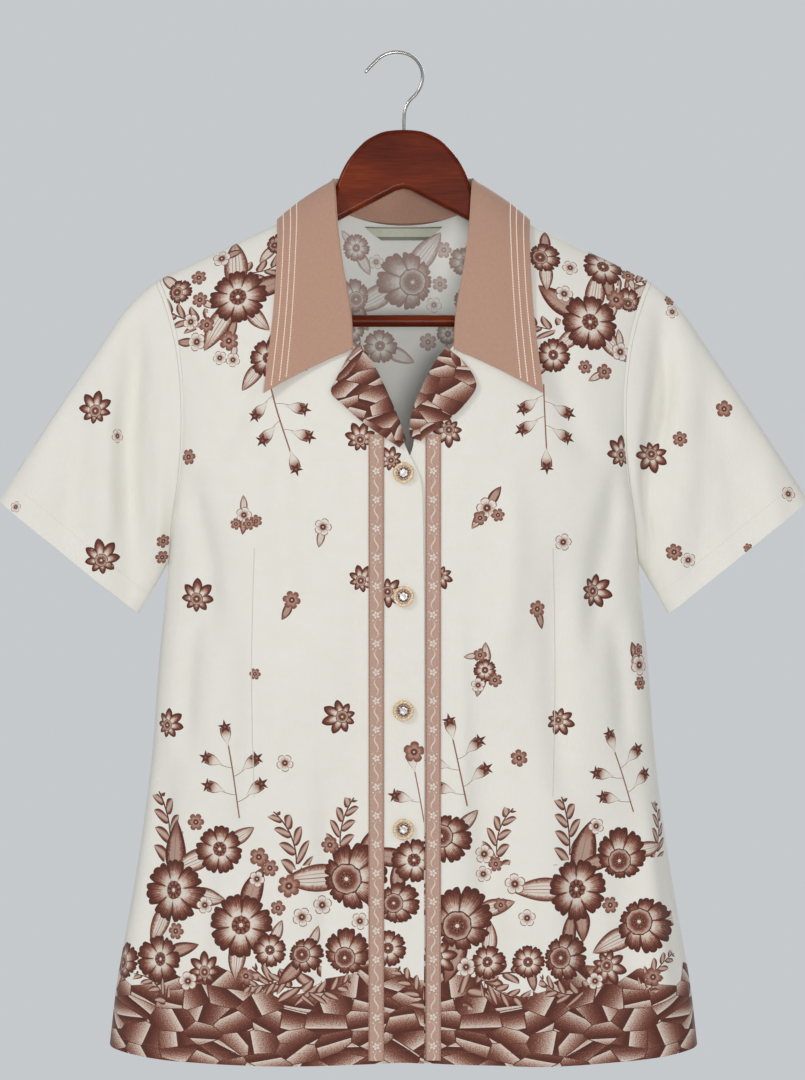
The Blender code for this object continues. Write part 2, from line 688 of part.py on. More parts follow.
def make_button(name, height, front):
    """A turned disc with a raised rim and a sunk middle, flat against the lap."""
    angles = np.linspace(0, 2 * np.pi, BUTTON_SIDES, endpoint=False)
    rings = [np.array([[0, 0, BUTTON["height"][0]]])]
    for radius, rise in zip(BUTTON["radius"][1:-1], BUTTON["height"][1:-1]):
        flat = np.stack([np.cos(angles) * radius, np.sin(angles) * radius], axis=-1)
        ring = np.concatenate([flat, np.full((len(angles), 1), rise)], axis=1)
        rings.append(ring)
    rings.append(np.array([[0, 0, BUTTON["height"][-1]]]))
    points = np.concatenate(rings)
    faces, count, middle = [], BUTTON_SIDES, len(rings) - 2
    for j in range(count):
        k = (j + 1) % count
        faces.append((0, 1 + k, 1 + j))
        for i in range(middle - 1):
            a, b = 1 + i * count, 1 + (i + 1) * count
            faces.append((a + j, a + k, b + k, b + j))
        last = 1 + (middle - 1) * count
        faces.append((last + j, last + k, len(points) - 1))
    low, high = depth_on(front, 0.0, height - 8.0), depth_on(front, 0.0, height + 8.0)
    tilt = math.atan2(float(high - low), 16.0)
    nearest = min(float(low), float(high), float(depth_on(front, 0.0, height)))
    turned = np.stack([
        points[:, 0],
        -points[:, 2] * math.cos(tilt) + points[:, 1] * math.sin(tilt),
        points[:, 1] * math.cos(tilt) + points[:, 2] * math.sin(tilt),
    ], axis=-1)
    middle_y = (float(low) + float(high)) / 2
    seat = min(middle_y, nearest + 0.3) - CLOTH / 2 - LAY_GAP
    add_solid(name, turned + (0.0, seat, height), faces, "amber button")


def make_arch():
    """The wooden shoulders: an outline in the plane of the blouse, made thick, with rounded long edges."""
    right = [(x, z) for x, z in zip(ARCH_TOP["x"], ARCH_TOP["z"])]
    right += [(x, z) for x, z in zip(ARCH_LOW["x"], ARCH_LOW["z"])]
    left = [(-x, z) for x, z in reversed(right) if x > 0]
    outline = np.array(right + left)
    following, before = np.roll(outline, -1, axis=0), np.roll(outline, 1, axis=0)
    run = unit(following - outline) + unit(outline - before)
    inward = unit(np.stack([run[:, 1], -run[:, 0]], axis=-1))
    half = ARCH_THICK / 2
    rounding = [(ARCH_ROUND, half), (ARCH_ROUND * 0.3, half - ARCH_ROUND * 0.35), (0.0, half - ARCH_ROUND)]
    layers = [(inset, -y) for inset, y in rounding] + rounding[::-1]
    points = []
    for inset, y in layers:
        flat = outline + inward * inset
        points.append(np.stack([flat[:, 0], np.full(len(flat), y), flat[:, 1]], axis=-1))
    count = len(outline)
    faces = []
    for i in range(len(layers) - 1):
        for j in range(count):
            k = (j + 1) % count
            a, b = i * count, (i + 1) * count
            faces.append((a + j, a + k, b + k, b + j))
    faces.append(tuple(range(count))[::-1])
    last = (len(layers) - 1) * count
    faces.append(tuple(range(last, last + count)))
    mesh = bpy.data.meshes.new("hanger_arch")
    mesh.from_pydata((np.concatenate(points) * MM).tolist(), [], faces)
    mesh.shade_smooth()
    mesh.set_sharp_from_angle(angle=math.radians(50))
    mesh.materials.append(make_material("mahogany"))
    arch = bpy.data.objects.new("hanger_arch", mesh)
    bpy.context.scene.collection.objects.link(arch)


def make_rod(name, points, radius, finish, sides):
    """A round rod along a line of points, with flat ends."""
    points = np.asarray(points, float)
    run = unit(np.gradient(points, axis=0))
    side = unit(np.cross(run, (0.0, 1.0, 0.0)))
    third = np.cross(run, side)
    angles = np.linspace(0, 2 * np.pi, sides, endpoint=False)
    rings = (
        points[:, None]
        + radius * np.cos(angles)[None, :, None] * side[:, None]
        + radius * np.sin(angles)[None, :, None] * third[:, None]
    )
    count = len(points)
    faces = [
        (i * sides + j, i * sides + (j + 1) % sides, (i + 1) * sides + (j + 1) % sides, (i + 1) * sides + j)
        for i in range(count - 1)
        for j in range(sides)
    ]
    flat = np.concatenate([rings.reshape(-1, 3), points[:1], points[-1:]])
    head, foot = count * sides, count * sides + 1
    for j in range(sides):
        k = (j + 1) % sides
        faces.append((head, k, j))
        faces.append((foot, (count - 1) * sides + j, (count - 1) * sides + k))
    add_solid(name, flat, faces, finish)


def make_hanger():
    make_arch()
    reach = BAR_SOCKET - SEAM_GAP
    spots = [(-reach, 0, BAR_HEIGHT), (0, 0, BAR_HEIGHT), (reach, 0, BAR_HEIGHT)]
    make_rod("hanger_bar", spots, BAR_RADIUS, "mahogany", 16)
    knots = np.linspace(0, 1, len(HOOK["x"]))
    at = np.linspace(0, 1, 3 * (len(knots) - 1) + 1)
    x, z = smooth_through(knots, HOOK["x"], at), smooth_through(knots, HOOK["z"], at)
    make_rod("hanger_hook", np.stack([x, np.zeros_like(x), z], axis=-1), WIRE_RADIUS, "steel wire", 10)


def main():
    for old in list(bpy.data.objects):
        bpy.data.objects.remove(old, do_unlink=True)
    right = make_front("front_right", -1, FRONT_EDGE_RIGHT, under=False)
    left = make_front("front_left", 1, FRONT_EDGE_LEFT, under=True)
    back = make_back()
    make_sleeve("sleeve_right", -1)
    make_sleeve("sleeve_left", 1)
    make_collar((right, left), back)
    make_lapel("lapel_right", -1, LAPEL_RIGHT, right)
    make_lapel("lapel_left", 1, LAPEL_LEFT, left)
    make_ribbon("ribbon_right", -1, right, RIBBON_START_RIGHT, -306.0)
    make_ribbon("ribbon_left", 1, left, RIBBON_START_LEFT, -306.0)
    make_label(back)
    for i, height in enumerate(BUTTON_HEIGHTS):
        make_button(f"button_{i + 1}", height, right)
    make_hanger()


main()
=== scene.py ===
"""The looks of a short-sleeved button-down blouse with a brown floral border print, on a wooden hanger.

Metres in the frame, millimetres in the grids and in the tables, whose first line names the columns. px and py
are pixels of the photograph. Cloth is made as thin shells on grids of points. The wearer faces -Y and the
wearer's right side is on -X.
"""

import math

import bmesh
import bpy
import numpy as np
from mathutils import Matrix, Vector
from mathutils.bvhtree import BVHTree


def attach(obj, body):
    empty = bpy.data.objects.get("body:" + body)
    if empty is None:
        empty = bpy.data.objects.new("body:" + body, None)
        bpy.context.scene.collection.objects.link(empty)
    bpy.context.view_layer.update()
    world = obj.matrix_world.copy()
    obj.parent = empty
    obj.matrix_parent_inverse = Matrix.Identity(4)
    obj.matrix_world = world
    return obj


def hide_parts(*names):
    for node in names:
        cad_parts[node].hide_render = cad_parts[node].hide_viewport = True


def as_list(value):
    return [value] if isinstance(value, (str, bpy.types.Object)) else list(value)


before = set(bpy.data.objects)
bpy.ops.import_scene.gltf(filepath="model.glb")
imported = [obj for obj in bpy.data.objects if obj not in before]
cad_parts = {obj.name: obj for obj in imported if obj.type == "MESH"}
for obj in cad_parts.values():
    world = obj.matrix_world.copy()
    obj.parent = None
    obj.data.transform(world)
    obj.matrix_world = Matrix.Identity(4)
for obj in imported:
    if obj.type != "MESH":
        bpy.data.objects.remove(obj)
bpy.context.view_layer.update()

MM = 0.001
# One pixel of the photograph is this many millimetres in the plane of the hook.
PIXEL = 0.8
CENTRE_PX = 403.5
ORIGIN_PY = 54.5
MIDDLE_PX, MIDDLE_PY = 402.5, 540.0
CAMERA_AWAY = 2.5
SENSOR = 36.0
PHOTO_TALL = 1080
SURROUND_LIGHT = 0.66

CLOTH = 1.0
WALL = 1.3
LAY_GAP = 0.35
LAPEL_GAP = 0.7
STEP = 3.4
# A face's corners in the other order, which turns it over.
OTHER_WAY = [0, 3, 2, 1]

HEM = -797.0
HEM_DROP = 3.5
HEM_CORNER = 5.0
UNDERARM = -405.0
SIDE_POWER = 2.6
THIN = 0.15
LAP_EDGE = 16.0
UNDER_RECESS = 2.4
RECESS_WIDTH = (17.0, 42.0)
RECESS_TOP = (-330, -285)
SIDE_CALM = (0.86, 1.0)
RIBBON_WIDTH = 12.0
RIBBON_START_RIGHT = 15.3
RIBBON_START_LEFT = 17.2
RIBBON_TOP = -306.0
RIBBON_HEM_GAP = 1.5
RIBBON_THICK = 0.6
RIBBON_ACROSS = np.array([0.0, 0.8, 3.4, 6.0, 8.6, 11.2, RIBBON_WIDTH])
RIBBON_RISE = np.array([0.55, 0.9, 1.0, 1.0, 1.0, 0.9, 0.55])
RIBBON_REPEAT = 22.5
RIBBON_DOTS = ((3.1, 3.4), (-3.3, 2.5), (2.5, -4.3), (-2.9, -3.7))
BUTTON_HEIGHTS = (-336.0, -432.5, -522.0, -615.0)
BAR_RADIUS = 4.75
BAR_HEIGHT = -213.2
BAR_SOCKET = 154.0
WIRE_RADIUS = 1.32
HOOK_TAPER = (0.72, 0.93, 1.0)
SEAM_GAP = 0.3
SLEEVE_HEM_STITCH = 18.0
LABEL_STAND, LABEL_THICK = 1.5, 0.7
# In metres, as the label's cut is.
LABEL_DEEP, LABEL_BORDER_AND_SHADOW_LINE = 0.0108, 0.0012
HEM_STITCH = 10.0
DART_HEIGHTS = (-395.0, -590.0)
DART_OUT, DART_BOW = 117.0, 2.0
CREASE_DEPTH = 2.4
SHOULDER_CALM = (-235, -205)
TRIM_CALM = (30, 48)
# Five places along a stitch, with their rise and their girth, each as a share.
STITCH_SHAPE = np.array([
    [-0.5, -0.36, 0, 0.36, 0.5], [-0.25, 0.72, 1, 0.72, -0.25], [0.35, 0.85, 1, 0.85, 0.35],
])
# A row of stitches: its pitch, a stitch's length, its radius and its height over the cloth's middle.
HEM_ROW = (3.0, 2.2, 0.17, CLOTH / 2 + 0.06)
COLLAR_ROW = (2.2, 2.3, 0.52, CLOTH / 2 + 0.26)
RIBBON_ROW = (3.0, 2.1, 0.2, 0.42)
ARMHOLE_CORD = 0.42
DART_CORD = 0.36


def table(columns, *rows):
    """A dictionary with one array for each named column."""
    return dict(zip(columns.split(), np.array(rows, float).T))


SIDE_SEAM = table(
    "z out front back",
    (-797, 234.5, 57, 56), (-740, 228.0, 55, 54), (-676, 217.0, 53, 51), (-612, 207.0, 52, 48),
    (-548, 199.5, 53, 46), (-484, 195.0, 56, 48), (-436, 190.0, 58, 52), (-405, 187.5, 59, 55),
)
ARMHOLE = table(
    "out z front back",
    (187.5, -405.0, 0.15, 0.15), (183.5, -372.0, 15.0, 15.0), (178.0, -341.0, 22.0, 23.0),
    (175.0, -314.0, 25.5, 26.0), (174.0, -290.0, 27.0, 27.0), (174.3, -268.0, 26.0, 26.0),
    (176.0, -248.0, 24.0, 24.0), (178.5, -231.0, 21.5, 21.5), (182.0, -216.0, 18.5, 18.5),
    (185.5, -204.0, 15.5, 15.5), (188.7, -195.0, 12.5, 12.5), (191.0, -189.0, 10.5, 10.5),
    (192.6, -185.5, 8.8, 8.8), (193.6, -182.8, 6.8, 6.8), (194.2, -180.9, 4.0, 4.0),
    (194.4, -180.2, 0.15, 0.15),
)
NECK_EDGE = (
    (28.0, -249.0, 52.0), (43.0, -230.0, 48.0), (47.5, -205.0, 41.0), (53.0, -175.0, 32.0),
    (58.0, -150.0, 23.0), (60.5, -134.0, 15.5), (61.6, -124.0, 9.8), (61.9, -119.5, 5.5),
    (62.0, -118.0, 0.15),
)


def front_edge(*rows):
    """The edge of a front from the underarm's height up to the neck point. Only its middle rows differ."""
    return table(
        "out z front", (-15.5, -405.0, 59.0), (-15.0, -372.0, 59.0), *rows, (18.8, -267.0, 55.0), *NECK_EDGE
    )


FRONT_EDGE_RIGHT = front_edge(
    (-13.0, -341.0, 59.0), (-3.0, -318.5, 58.5), (3.6, -303.0, 58.0), (10.3, -286.5, 57.0)
)
FRONT_EDGE_LEFT = front_edge(
    (-11.0, -341.0, 59.0), (5.5, -321.0, 58.5), (9.0, -303.0, 58.0), (11.5, -286.5, 57.0)
)
BACK_LINE = table(
    "centre_z centre_back neck_out neck_z neck_back edge",
    (-405.0, 55.0, 56.0, -405.0, 53.8, 1.00), (-372.0, 55.2, 56.0, -372.0, 54.0, 1.00),
    (-341.0, 55.3, 56.0, -341.0, 54.1, 1.00), (-314.0, 55.3, 56.5, -314.0, 54.0, 1.00),
    (-290.0, 55.2, 57.0, -289.0, 53.5, 1.00), (-267.0, 55.0, 57.5, -265.0, 52.5, 1.00),
    (-246.0, 54.5, 58.0, -242.0, 50.5, 1.00), (-227.0, 53.5, 58.5, -221.0, 47.5, 1.00),
    (-209.0, 52.3, 59.0, -200.0, 43.0, 1.00), (-192.0, 50.8, 59.5, -179.0, 36.5, 0.95),
    (-176.0, 49.2, 60.0, -160.0, 28.5, 0.85), (-162.0, 47.6, 60.5, -144.5, 21.0, 0.75),
    (-150.0, 46.2, 61.0, -132.5, 14.5, 0.65), (-141.0, 45.0, 61.6, -124.0, 9.8, 0.60),
    (-135.0, 44.3, 61.9, -119.5, 5.5, 0.57), (-132.5, 44.0, 62.0, -118.0, 0.15, 0.55),
)
FRONT_STEPS = np.array([0, 0.06, 0.14, 0.24, 0.36, 0.48, 0.6, 0.71, 0.81, 0.89, 0.95, 0.985, 1.0])
BACK_STEPS = np.array([0, 0.08, 0.17, 0.28, 0.4, 0.52, 0.64, 0.75, 0.84, 0.92, 0.97, 1.0])
NECK_STEPS = np.array([0, 0.22, 0.42, 0.6, 0.76, 0.9])
LOWER_ROWS = (-797, -775, -745, -710, -670, -630, -590, -550, -510, -470, -435)
FOLDS = table(
    "x y_side width depth low high",
    (-150.0, -1, 16.0, 5.0, -800, -560), (-78.0, -1, 20.0, -4.0, -760, -420),
    (-45.0, -1, 12.0, 3.0, -700, -380), (62.0, -1, 16.0, 3.6, -800, -480),
    (112.0, -1, 20.0, -4.0, -800, -520), (172.0, -1, 14.0, 5.0, -800, -600),
    (-120.0, 1, 20.0, 3.5, -800, -480), (-40.0, 1, 22.0, -3.0, -800, -420),
    (48.0, 1, 20.0, 3.2, -800, -450), (135.0, 1, 18.0, 3.4, -800, -560),
)
SLEEVE_TOP = table(
    "v out z",
    (0.00, 194.4, -180.2), (0.12, 208.5, -191.0), (0.25, 224.5, -208.5), (0.40, 243.0, -236.0),
    (0.60, 269.0, -274.0), (0.80, 296.5, -315.5), (1.00, 323.0, -357.0),
)
SLEEVE_BOTTOM = table(
    "v out z",
    (0.00, 187.5, -405.0), (0.50, 199.0, -425.0), (1.00, 212.0, -447.0),
)
SLEEVE_RINGS = (0.0, 0.07, 0.15, 0.25, 0.37, 0.5, 0.63, 0.76, 0.88, 1.0)
SLEEVE_HEM_HALF = 16.0
SLEEVE_FOLDS = table(
    "x width depth low high",
    (-217.0, 15.0, 7.0, -430, -215), (-262.0, 14.0, 3.5, -400, -265), (203.0, 11.0, 7.0, -345, -205),
    (236.0, 16.0, 4.5, -440, -250), (276.0, 13.0, 3.0, -400, -290),
)
COLLAR = table(
    "u seam_x seam_y seam_z fold_x fold_y fold_z edge_x edge_y edge_z",
    (0.00, 0.0, 42.3, -131.0, 0.0, 42.5, -94.0, 0.0, 58.0, -148.0),
    (0.12, 21.0, 39.8, -130.0, 19.0, 40.3, -94.3, 26.0, 57.0, -148.0),
    (0.24, 39.0, 32.0, -127.0, 36.5, 33.5, -95.5, 52.0, 50.0, -147.0),
    (0.36, 52.5, 20.0, -122.0, 49.5, 21.5, -97.3, 78.0, 36.0, -142.0),
    (0.46, 59.6, 8.5, -116.8, 55.0, 9.0, -98.8, 95.0, 17.0, -135.0),
    (0.54, 60.4, -2.5, -116.6, 56.0, -3.5, -100.5, 100.5, -1.0, -132.2),
    (0.62, 59.0, -12.5, -129.0, 55.2, -14.5, -111.0, 100.0, -16.0, -144.0),
    (0.72, 55.5, -23.5, -151.0, 53.4, -26.5, -137.0, 100.5, -30.0, -172.0),
    (0.82, 49.5, -34.0, -183.0, 49.0, -37.0, -171.0, 102.5, -40.0, -209.0),
    (0.91, 42.5, -41.5, -210.0, 43.0, -45.0, -206.0, 106.0, -50.0, -243.0),
    (1.00, 42.5, -51.0, -233.0, 41.0, -53.0, -238.0, 109.5, -57.0, -273.5),
)
COLLAR_SPANS = 22
COLLAR_ROWS = (6.8, 14.2, 20.4)
FOLD_RISE = 1.6
LEAF_STEPS = (0.0, 0.14, 0.32, 0.52, 0.76, 1.0)
LEAF_CLEAR = 2.6
LAPEL_RIGHT = table(
    "roll_out roll_z tip_out tip_z",
    (-0.5, -312.0, 3.0, -316.2), (3.5, -299.5, 14.0, -309.0), (9.0, -286.5, 30.5, -297.5),
    (15.8, -271.0, 47.0, -283.0), (21.5, -259.0, 56.6, -272.8), (28.0, -247.5, 52.5, -262.5),
    (36.0, -235.5, 44.0, -246.0),
)
LAPEL_LEFT = table(
    "roll_out roll_z tip_out tip_z",
    (7.2, -309.0, 13.5, -311.0), (6.8, -299.5, 20.5, -305.0), (9.5, -286.5, 34.0, -295.5),
    (15.8, -271.0, 49.0, -281.0), (21.5, -259.0, 57.0, -268.0), (28.0, -247.5, 52.5, -256.0),
    (35.0, -238.5, 46.0, -247.5),
)
LAPEL_TUCK, ROLL_REACH = 3.5, 1.8
# Shares of the way from the roll line to the lapel's edge, with the height over the front there.
LAPEL_LIFTS = ((0.02, 2.3), (0.3, 2.7), (0.65, 3.2), (1.0, 3.5))
LABEL = table(
    "z half",
    (-134.0, 31.5), (-139.0, 26.0), (-144.5, 18.0),
)

ARCH_TOP = table(
    "x z",
    (0.0, -60.5), (9.0, -61.0), (18.0, -62.8), (29.0, -68.4), (36.0, -74.8), (41.6, -81.2), (46.0, -87.6),
    (50.0, -95.5), (53.0, -103.5), (55.6, -111.0), (57.6, -117.8), (62.0, -121.0), (184.0, -177.4),
)
ARCH_LOW = table(
    "x z",
    (187.0, -183.0), (187.0, -196.0), (181.0, -216.0), (172.0, -228.0), (162.0, -230.0), (154.0, -224.0),
    (154.0, -203.0), (140.0, -190.0), (100.0, -164.0), (54.0, -134.0), (6.0, -108.8), (0.0, -107.4),
)
HOOK = table(
    "x z",
    (-30.8, -14.6), (-25.5, -8.8), (-18.5, -2.2), (-12.0, 0.9), (-5.2, 1.9), (3.5, 0.2), (10.5, -4.8),
    (14.8, -13.0), (14.6, -22.5), (10.5, -31.0), (4.5, -37.5), (1.2, -44.5), (0.4, -52.0), (0.4, -60.0),
)
ARCH_THICK = 12.0
ARCH_ROUND = 3.7


def smooth_through(x, y, at):
    """y at the given x values, on a curve through all the points whose slope at each is its neighbours'."""
    slopes = np.gradient(y, x, axis=0)
    k = np.clip(np.searchsorted(x, at, side="right") - 1, 0, len(x) - 2)
    span = x[k + 1] - x[k]
    t = (at - x[k]) / span
    if y.ndim > 1:
        t, span = (a.reshape((-1,) + (1,) * (y.ndim - 1)) for a in (t, span))
    start, end = slopes[k] * span, slopes[k + 1] * span
    low, high = y[k], y[k + 1]
    rise = 3 * t**2 - 2 * t**3
    return (1 - rise) * low + rise * high + (t**3 - 2 * t**2 + t) * start + (t**3 - t**2) * end


def ease(low, high, value):
    """0 below low and 1 above high, with a smooth rise between them."""
    t = np.clip((value - low) / (high - low), 0, 1)
    return t * t * (3 - 2 * t)


def unit(vectors):
    """The vectors at length 1."""
    return vectors / np.maximum(np.linalg.norm(vectors, axis=-1, keepdims=True), 1e-12)


def running(steps):
    """0, and then the sum of the steps up to each."""
    return np.concatenate([[0], np.cumsum(steps)])


def gaps(points, axis=0):
    """The distance from each point to the next along an axis."""
    return np.linalg.norm(np.diff(points, axis=axis), axis=-1)


def xyz(x, y, z):
    """Points from their coordinates, each an array or one number for all."""
    return np.stack(np.broadcast_arrays(x, y, z), axis=-1)


def normals_of(grid, ring=False):
    """The unit normal at each point of a grid, from its neighbours in the row and the column."""
    if ring:
        wide = np.concatenate([grid[:, -1:], grid, grid[:, :1]], axis=1)
        across = np.gradient(wide, axis=1)[:, 1:-1]
    else:
        across = np.gradient(grid, axis=1)
    return unit(np.cross(across, np.gradient(grid, axis=0)))


def outward_normals(grid, outward, column=2):
    """A grid's normals, all turned round if the one in this column of its middle row points inwards."""
    normals = normals_of(grid)
    return -normals if normals[len(grid) // 2, column] @ np.array(outward, float) < 0 else normals


def tube_normals(grid):
    """The normals of a grid whose rows are rings, pointing away from the middle of each ring."""
    normals = normals_of(grid, ring=True)
    ring = grid[len(grid) // 2]
    return -normals if (normals[len(grid) // 2] * (ring - ring.mean(axis=0))).sum() < 0 else normals


def knots_along(grid, axis):
    """The mean distance along an axis of the grid to each of its rows or columns."""
    return running(np.maximum(gaps(grid, axis).mean(axis=1 - axis), 1e-3))


def fill_between(knots, step):
    """Every knot, with even points between each pair so that none are further apart than the step."""
    parts = [
        np.linspace(a, b, max(1, math.ceil((b - a) / step)), endpoint=False)
        for a, b in zip(knots[:-1], knots[1:])
    ]
    return np.concatenate([*parts, knots[-1:]])


def refine(grid, step=STEP, ring=False):
    """The same surface on a finer grid: a smooth curve through the points along each column and each row."""
    grid = smooth_through(knots_along(grid, 0), grid, fill_between(knots_along(grid, 0), step))
    if ring:
        grid = np.concatenate([grid[:, -2:], grid, grid[:, :3]], axis=1)
    columns = knots_along(grid, 1)
    at = fill_between(columns[2:-2], step)[:-1] if ring else fill_between(columns, step)
    return np.swapaxes(smooth_through(columns, np.swapaxes(grid, 0, 1), at), 0, 1)


def fold_push(grid, side):
    """How far the soft vertical folds of one side of the body move each point along Y."""
    x, z = grid[..., 0], grid[..., 2]
    push = np.zeros_like(x)
    for middle, y_side, width, depth, low, high in zip(*FOLDS.values()):
        if y_side == side:
            fade = ease(low - 60, low + 10, z) * (1 - ease(high - 90, high, z))
            push -= side * depth * np.exp(-(((x - middle) / width) ** 2)) * fade
    return push


def hem_height(fraction):
    """The hem hangs lower in mid panel than at the centre, and turns up at the side seam."""
    return HEM - HEM_DROP * np.sin(np.pi * np.clip(fraction, 0, 1)) + HEM_CORNER * fraction**8


def lower_rows(edge_out, steps, side):
    """Rows from the hem to just under the armhole: x, the depth of a soft round section, and z."""
    heights = np.array(LOWER_ROWS, float)
    out = smooth_through(SIDE_SEAM["z"], SIDE_SEAM["out"], heights)[:, None]
    deep = smooth_through(SIDE_SEAM["z"], SIDE_SEAM["front" if side < 0 else "back"], heights)[:, None]
    x = edge_out + (out - edge_out) * steps[None, :]
    z = np.repeat(heights[:, None], len(steps), axis=1)
    z = z + (hem_height(np.abs(x) / out) - HEM) * ease(-700, HEM, z)
    depth = THIN + (deep - THIN) * (1 - np.clip(x / out, 0, 1) ** SIDE_POWER) ** 0.5
    return x, depth, z


def upper_depth(x, inner_x, outer_x, inner, outer):
    """The depth of a row above the underarm, from its inner end to the armhole: a round section whose power
    rises towards the shoulder."""
    power = 0.5 + 0.45 * ease(0, 0.4, np.linspace(0, 1, len(inner_x))[:, None])
    t, t_inner = np.clip(x / outer_x, 0, 1), np.clip(inner_x / outer_x, 0, 1)
    return outer + (inner - outer) * ((1 - t**SIDE_POWER) / (1 - t_inner**SIDE_POWER)) ** power


def columns_of(rows, *names):
    """These columns of a table, each as one value for each row of a grid."""
    return [rows[name][:, None] for name in names]


def front_grid(edge):
    """A front on its own side as (out, depth, z): level rows to the underarm, then rows that fan up to the
    shoulder seam between the front edge, roll line and neck on one side and the armhole on the other."""
    lower = lower_rows(-LAP_EDGE, FRONT_STEPS, -1)
    inner_x, inner_z, inner_d = columns_of(edge, "out", "z", "front")
    outer_x, outer_z, outer_d = columns_of(ARMHOLE, "out", "z", "front")
    x = inner_x + (outer_x - inner_x) * FRONT_STEPS
    z = inner_z + (outer_z - inner_z) * FRONT_STEPS
    upper = x, upper_depth(x, inner_x, outer_x, inner_d, outer_d), z
    return xyz(*map(np.concatenate, zip(lower, upper)))


def placed_front(side_x, edge, under):
    """A front in its place, with its folds. The under front is sunk a little where the other laps over it."""
    own = front_grid(edge)
    grid = own * (side_x, -1.0, 1.0)
    grid[..., 1] += fold_push(grid, -1) * (1 - ease(*SIDE_CALM, own[..., 0] / own[:, -1:, 0]))
    if under:
        recess = UNDER_RECESS * (1 - ease(*RECESS_WIDTH, own[..., 0]))
        grid[..., 1] += recess * (1 - ease(*RECESS_TOP, own[..., 2]))
    return grid


def back_grid():
    """The whole back, made as (out, depth, z) from the centre line past the neck point, then mirrored."""
    side_out = smooth_through(SIDE_SEAM["z"], SIDE_SEAM["out"], np.array([UNDERARM]))[0]
    neck = BACK_LINE["neck_out"][0] / side_out
    lower = lower_rows(0.0, np.concatenate([NECK_STEPS * neck, neck + BACK_STEPS * (1 - neck)]), 1)
    centre_z, centre_d, edge = columns_of(BACK_LINE, "centre_z", "centre_back", "edge")
    neck_x, neck_z, neck_d = columns_of(BACK_LINE, "neck_out", "neck_z", "neck_back")
    outer_x, outer_z, outer_d = columns_of(ARMHOLE, "out", "z", "back")
    x = neck_x + (outer_x - neck_x) * BACK_STEPS
    upper = (
        (neck_x * NECK_STEPS, x),
        (
            neck_d + (centre_d - neck_d) * (1 - NECK_STEPS**2.4) ** edge,
            upper_depth(x, neck_x, outer_x, neck_d, outer_d),
        ),
        (centre_z + (neck_z - centre_z) * NECK_STEPS**2, neck_z + (outer_z - neck_z) * BACK_STEPS),
    )
    upper = [np.concatenate(pair, axis=1) for pair in upper]
    half = xyz(*map(np.concatenate, zip(lower, upper)))
    grid = np.concatenate([half[:, ::-1], half[:, 1:] * (-1, 1, 1)], axis=1)
    reach = np.abs(grid[..., 0]) / np.abs(grid[:, -1:, 0])
    grid[..., 1] += fold_push(grid, 1) * (1 - ease(*SIDE_CALM, reach))
    return grid


def along_sleeve(line, share):
    """The (out, z) of a line down the sleeve at a share of the way to its hem."""
    return np.array([smooth_through(line["v"], line[k], np.array([share]))[0] for k in ("out", "z")])


def sleeve_grid(side_x):
    """A tube of rings from the armhole to the hem. Each ring is worked out along and across the line between
    the sleeve's top fold and its underarm seam, and turns from the armhole's own shape to a flat oval."""
    front = xyz(ARMHOLE["out"], -ARMHOLE["front"], ARMHOLE["z"])[::-1]
    back = xyz(ARMHOLE["out"], ARMHOLE["back"], ARMHOLE["z"])
    top, bottom = front[0] * (1, 0, 1), front[-1] * (1, 0, 1)
    ring = np.concatenate([[top], front[1:-1], [bottom], back[1:-1]])
    length = np.linalg.norm(bottom - top)
    axis = (bottom - top) / length
    across = np.array([-axis[2], 0.0, axis[0]])
    along_0, bulge_0 = (ring - top) @ axis / length, (ring - top) @ across
    half = len(front)
    steps = np.concatenate([np.linspace(0, 1, half), np.linspace(1, 0, half)[1:-1]])
    signs = np.where(np.arange(len(ring)) < half, -1.0, 1.0)
    along_1 = (1 - np.cos(np.pi * steps)) / 2 * 0.35 + steps * 0.65
    depth_1 = signs * SLEEVE_HEM_HALF * np.maximum(1 - np.abs(2 * along_1 - 1) ** 2.4, 0) ** 0.5
    rings = [ring]
    for share in SLEEVE_RINGS[1:]:
        head, foot = along_sleeve(SLEEVE_TOP, share), along_sleeve(SLEEVE_BOTTOM, share)
        blend = ease(0, 1, share**0.8)
        line = foot - head
        side = np.array([-line[1], line[0]]) / np.linalg.norm(line)
        along = along_0 + (along_1 - along_0) * blend
        bulge = bulge_0 * (1 - ease(0, 0.75, share))
        flat = head + along[:, None] * line + bulge[:, None] * side
        rings.append(xyz(flat[:, 0], ring[:, 1] + (depth_1 - ring[:, 1]) * blend, flat[:, 1]))
    grid = np.array(rings)
    grid[..., 0] = (grid[..., 0] + SEAM_GAP) * side_x
    x, z = grid[..., 0], grid[..., 2]
    thin = ease(0.02, 0.3, np.array(SLEEVE_RINGS))[:, None]
    for middle, width, depth, low, high in zip(*SLEEVE_FOLDS.values()):
        fade = ease(low - 40, low + 20, z) * (1 - ease(high - 50, high, z)) * thin
        room = np.clip(np.abs(grid[..., 1]) / 10, 0, 1)
        push = depth * np.exp(-(((x - middle) / width) ** 2)) * fade * room
        grid[..., 1] -= np.sign(grid[..., 1]) * push
    return grid


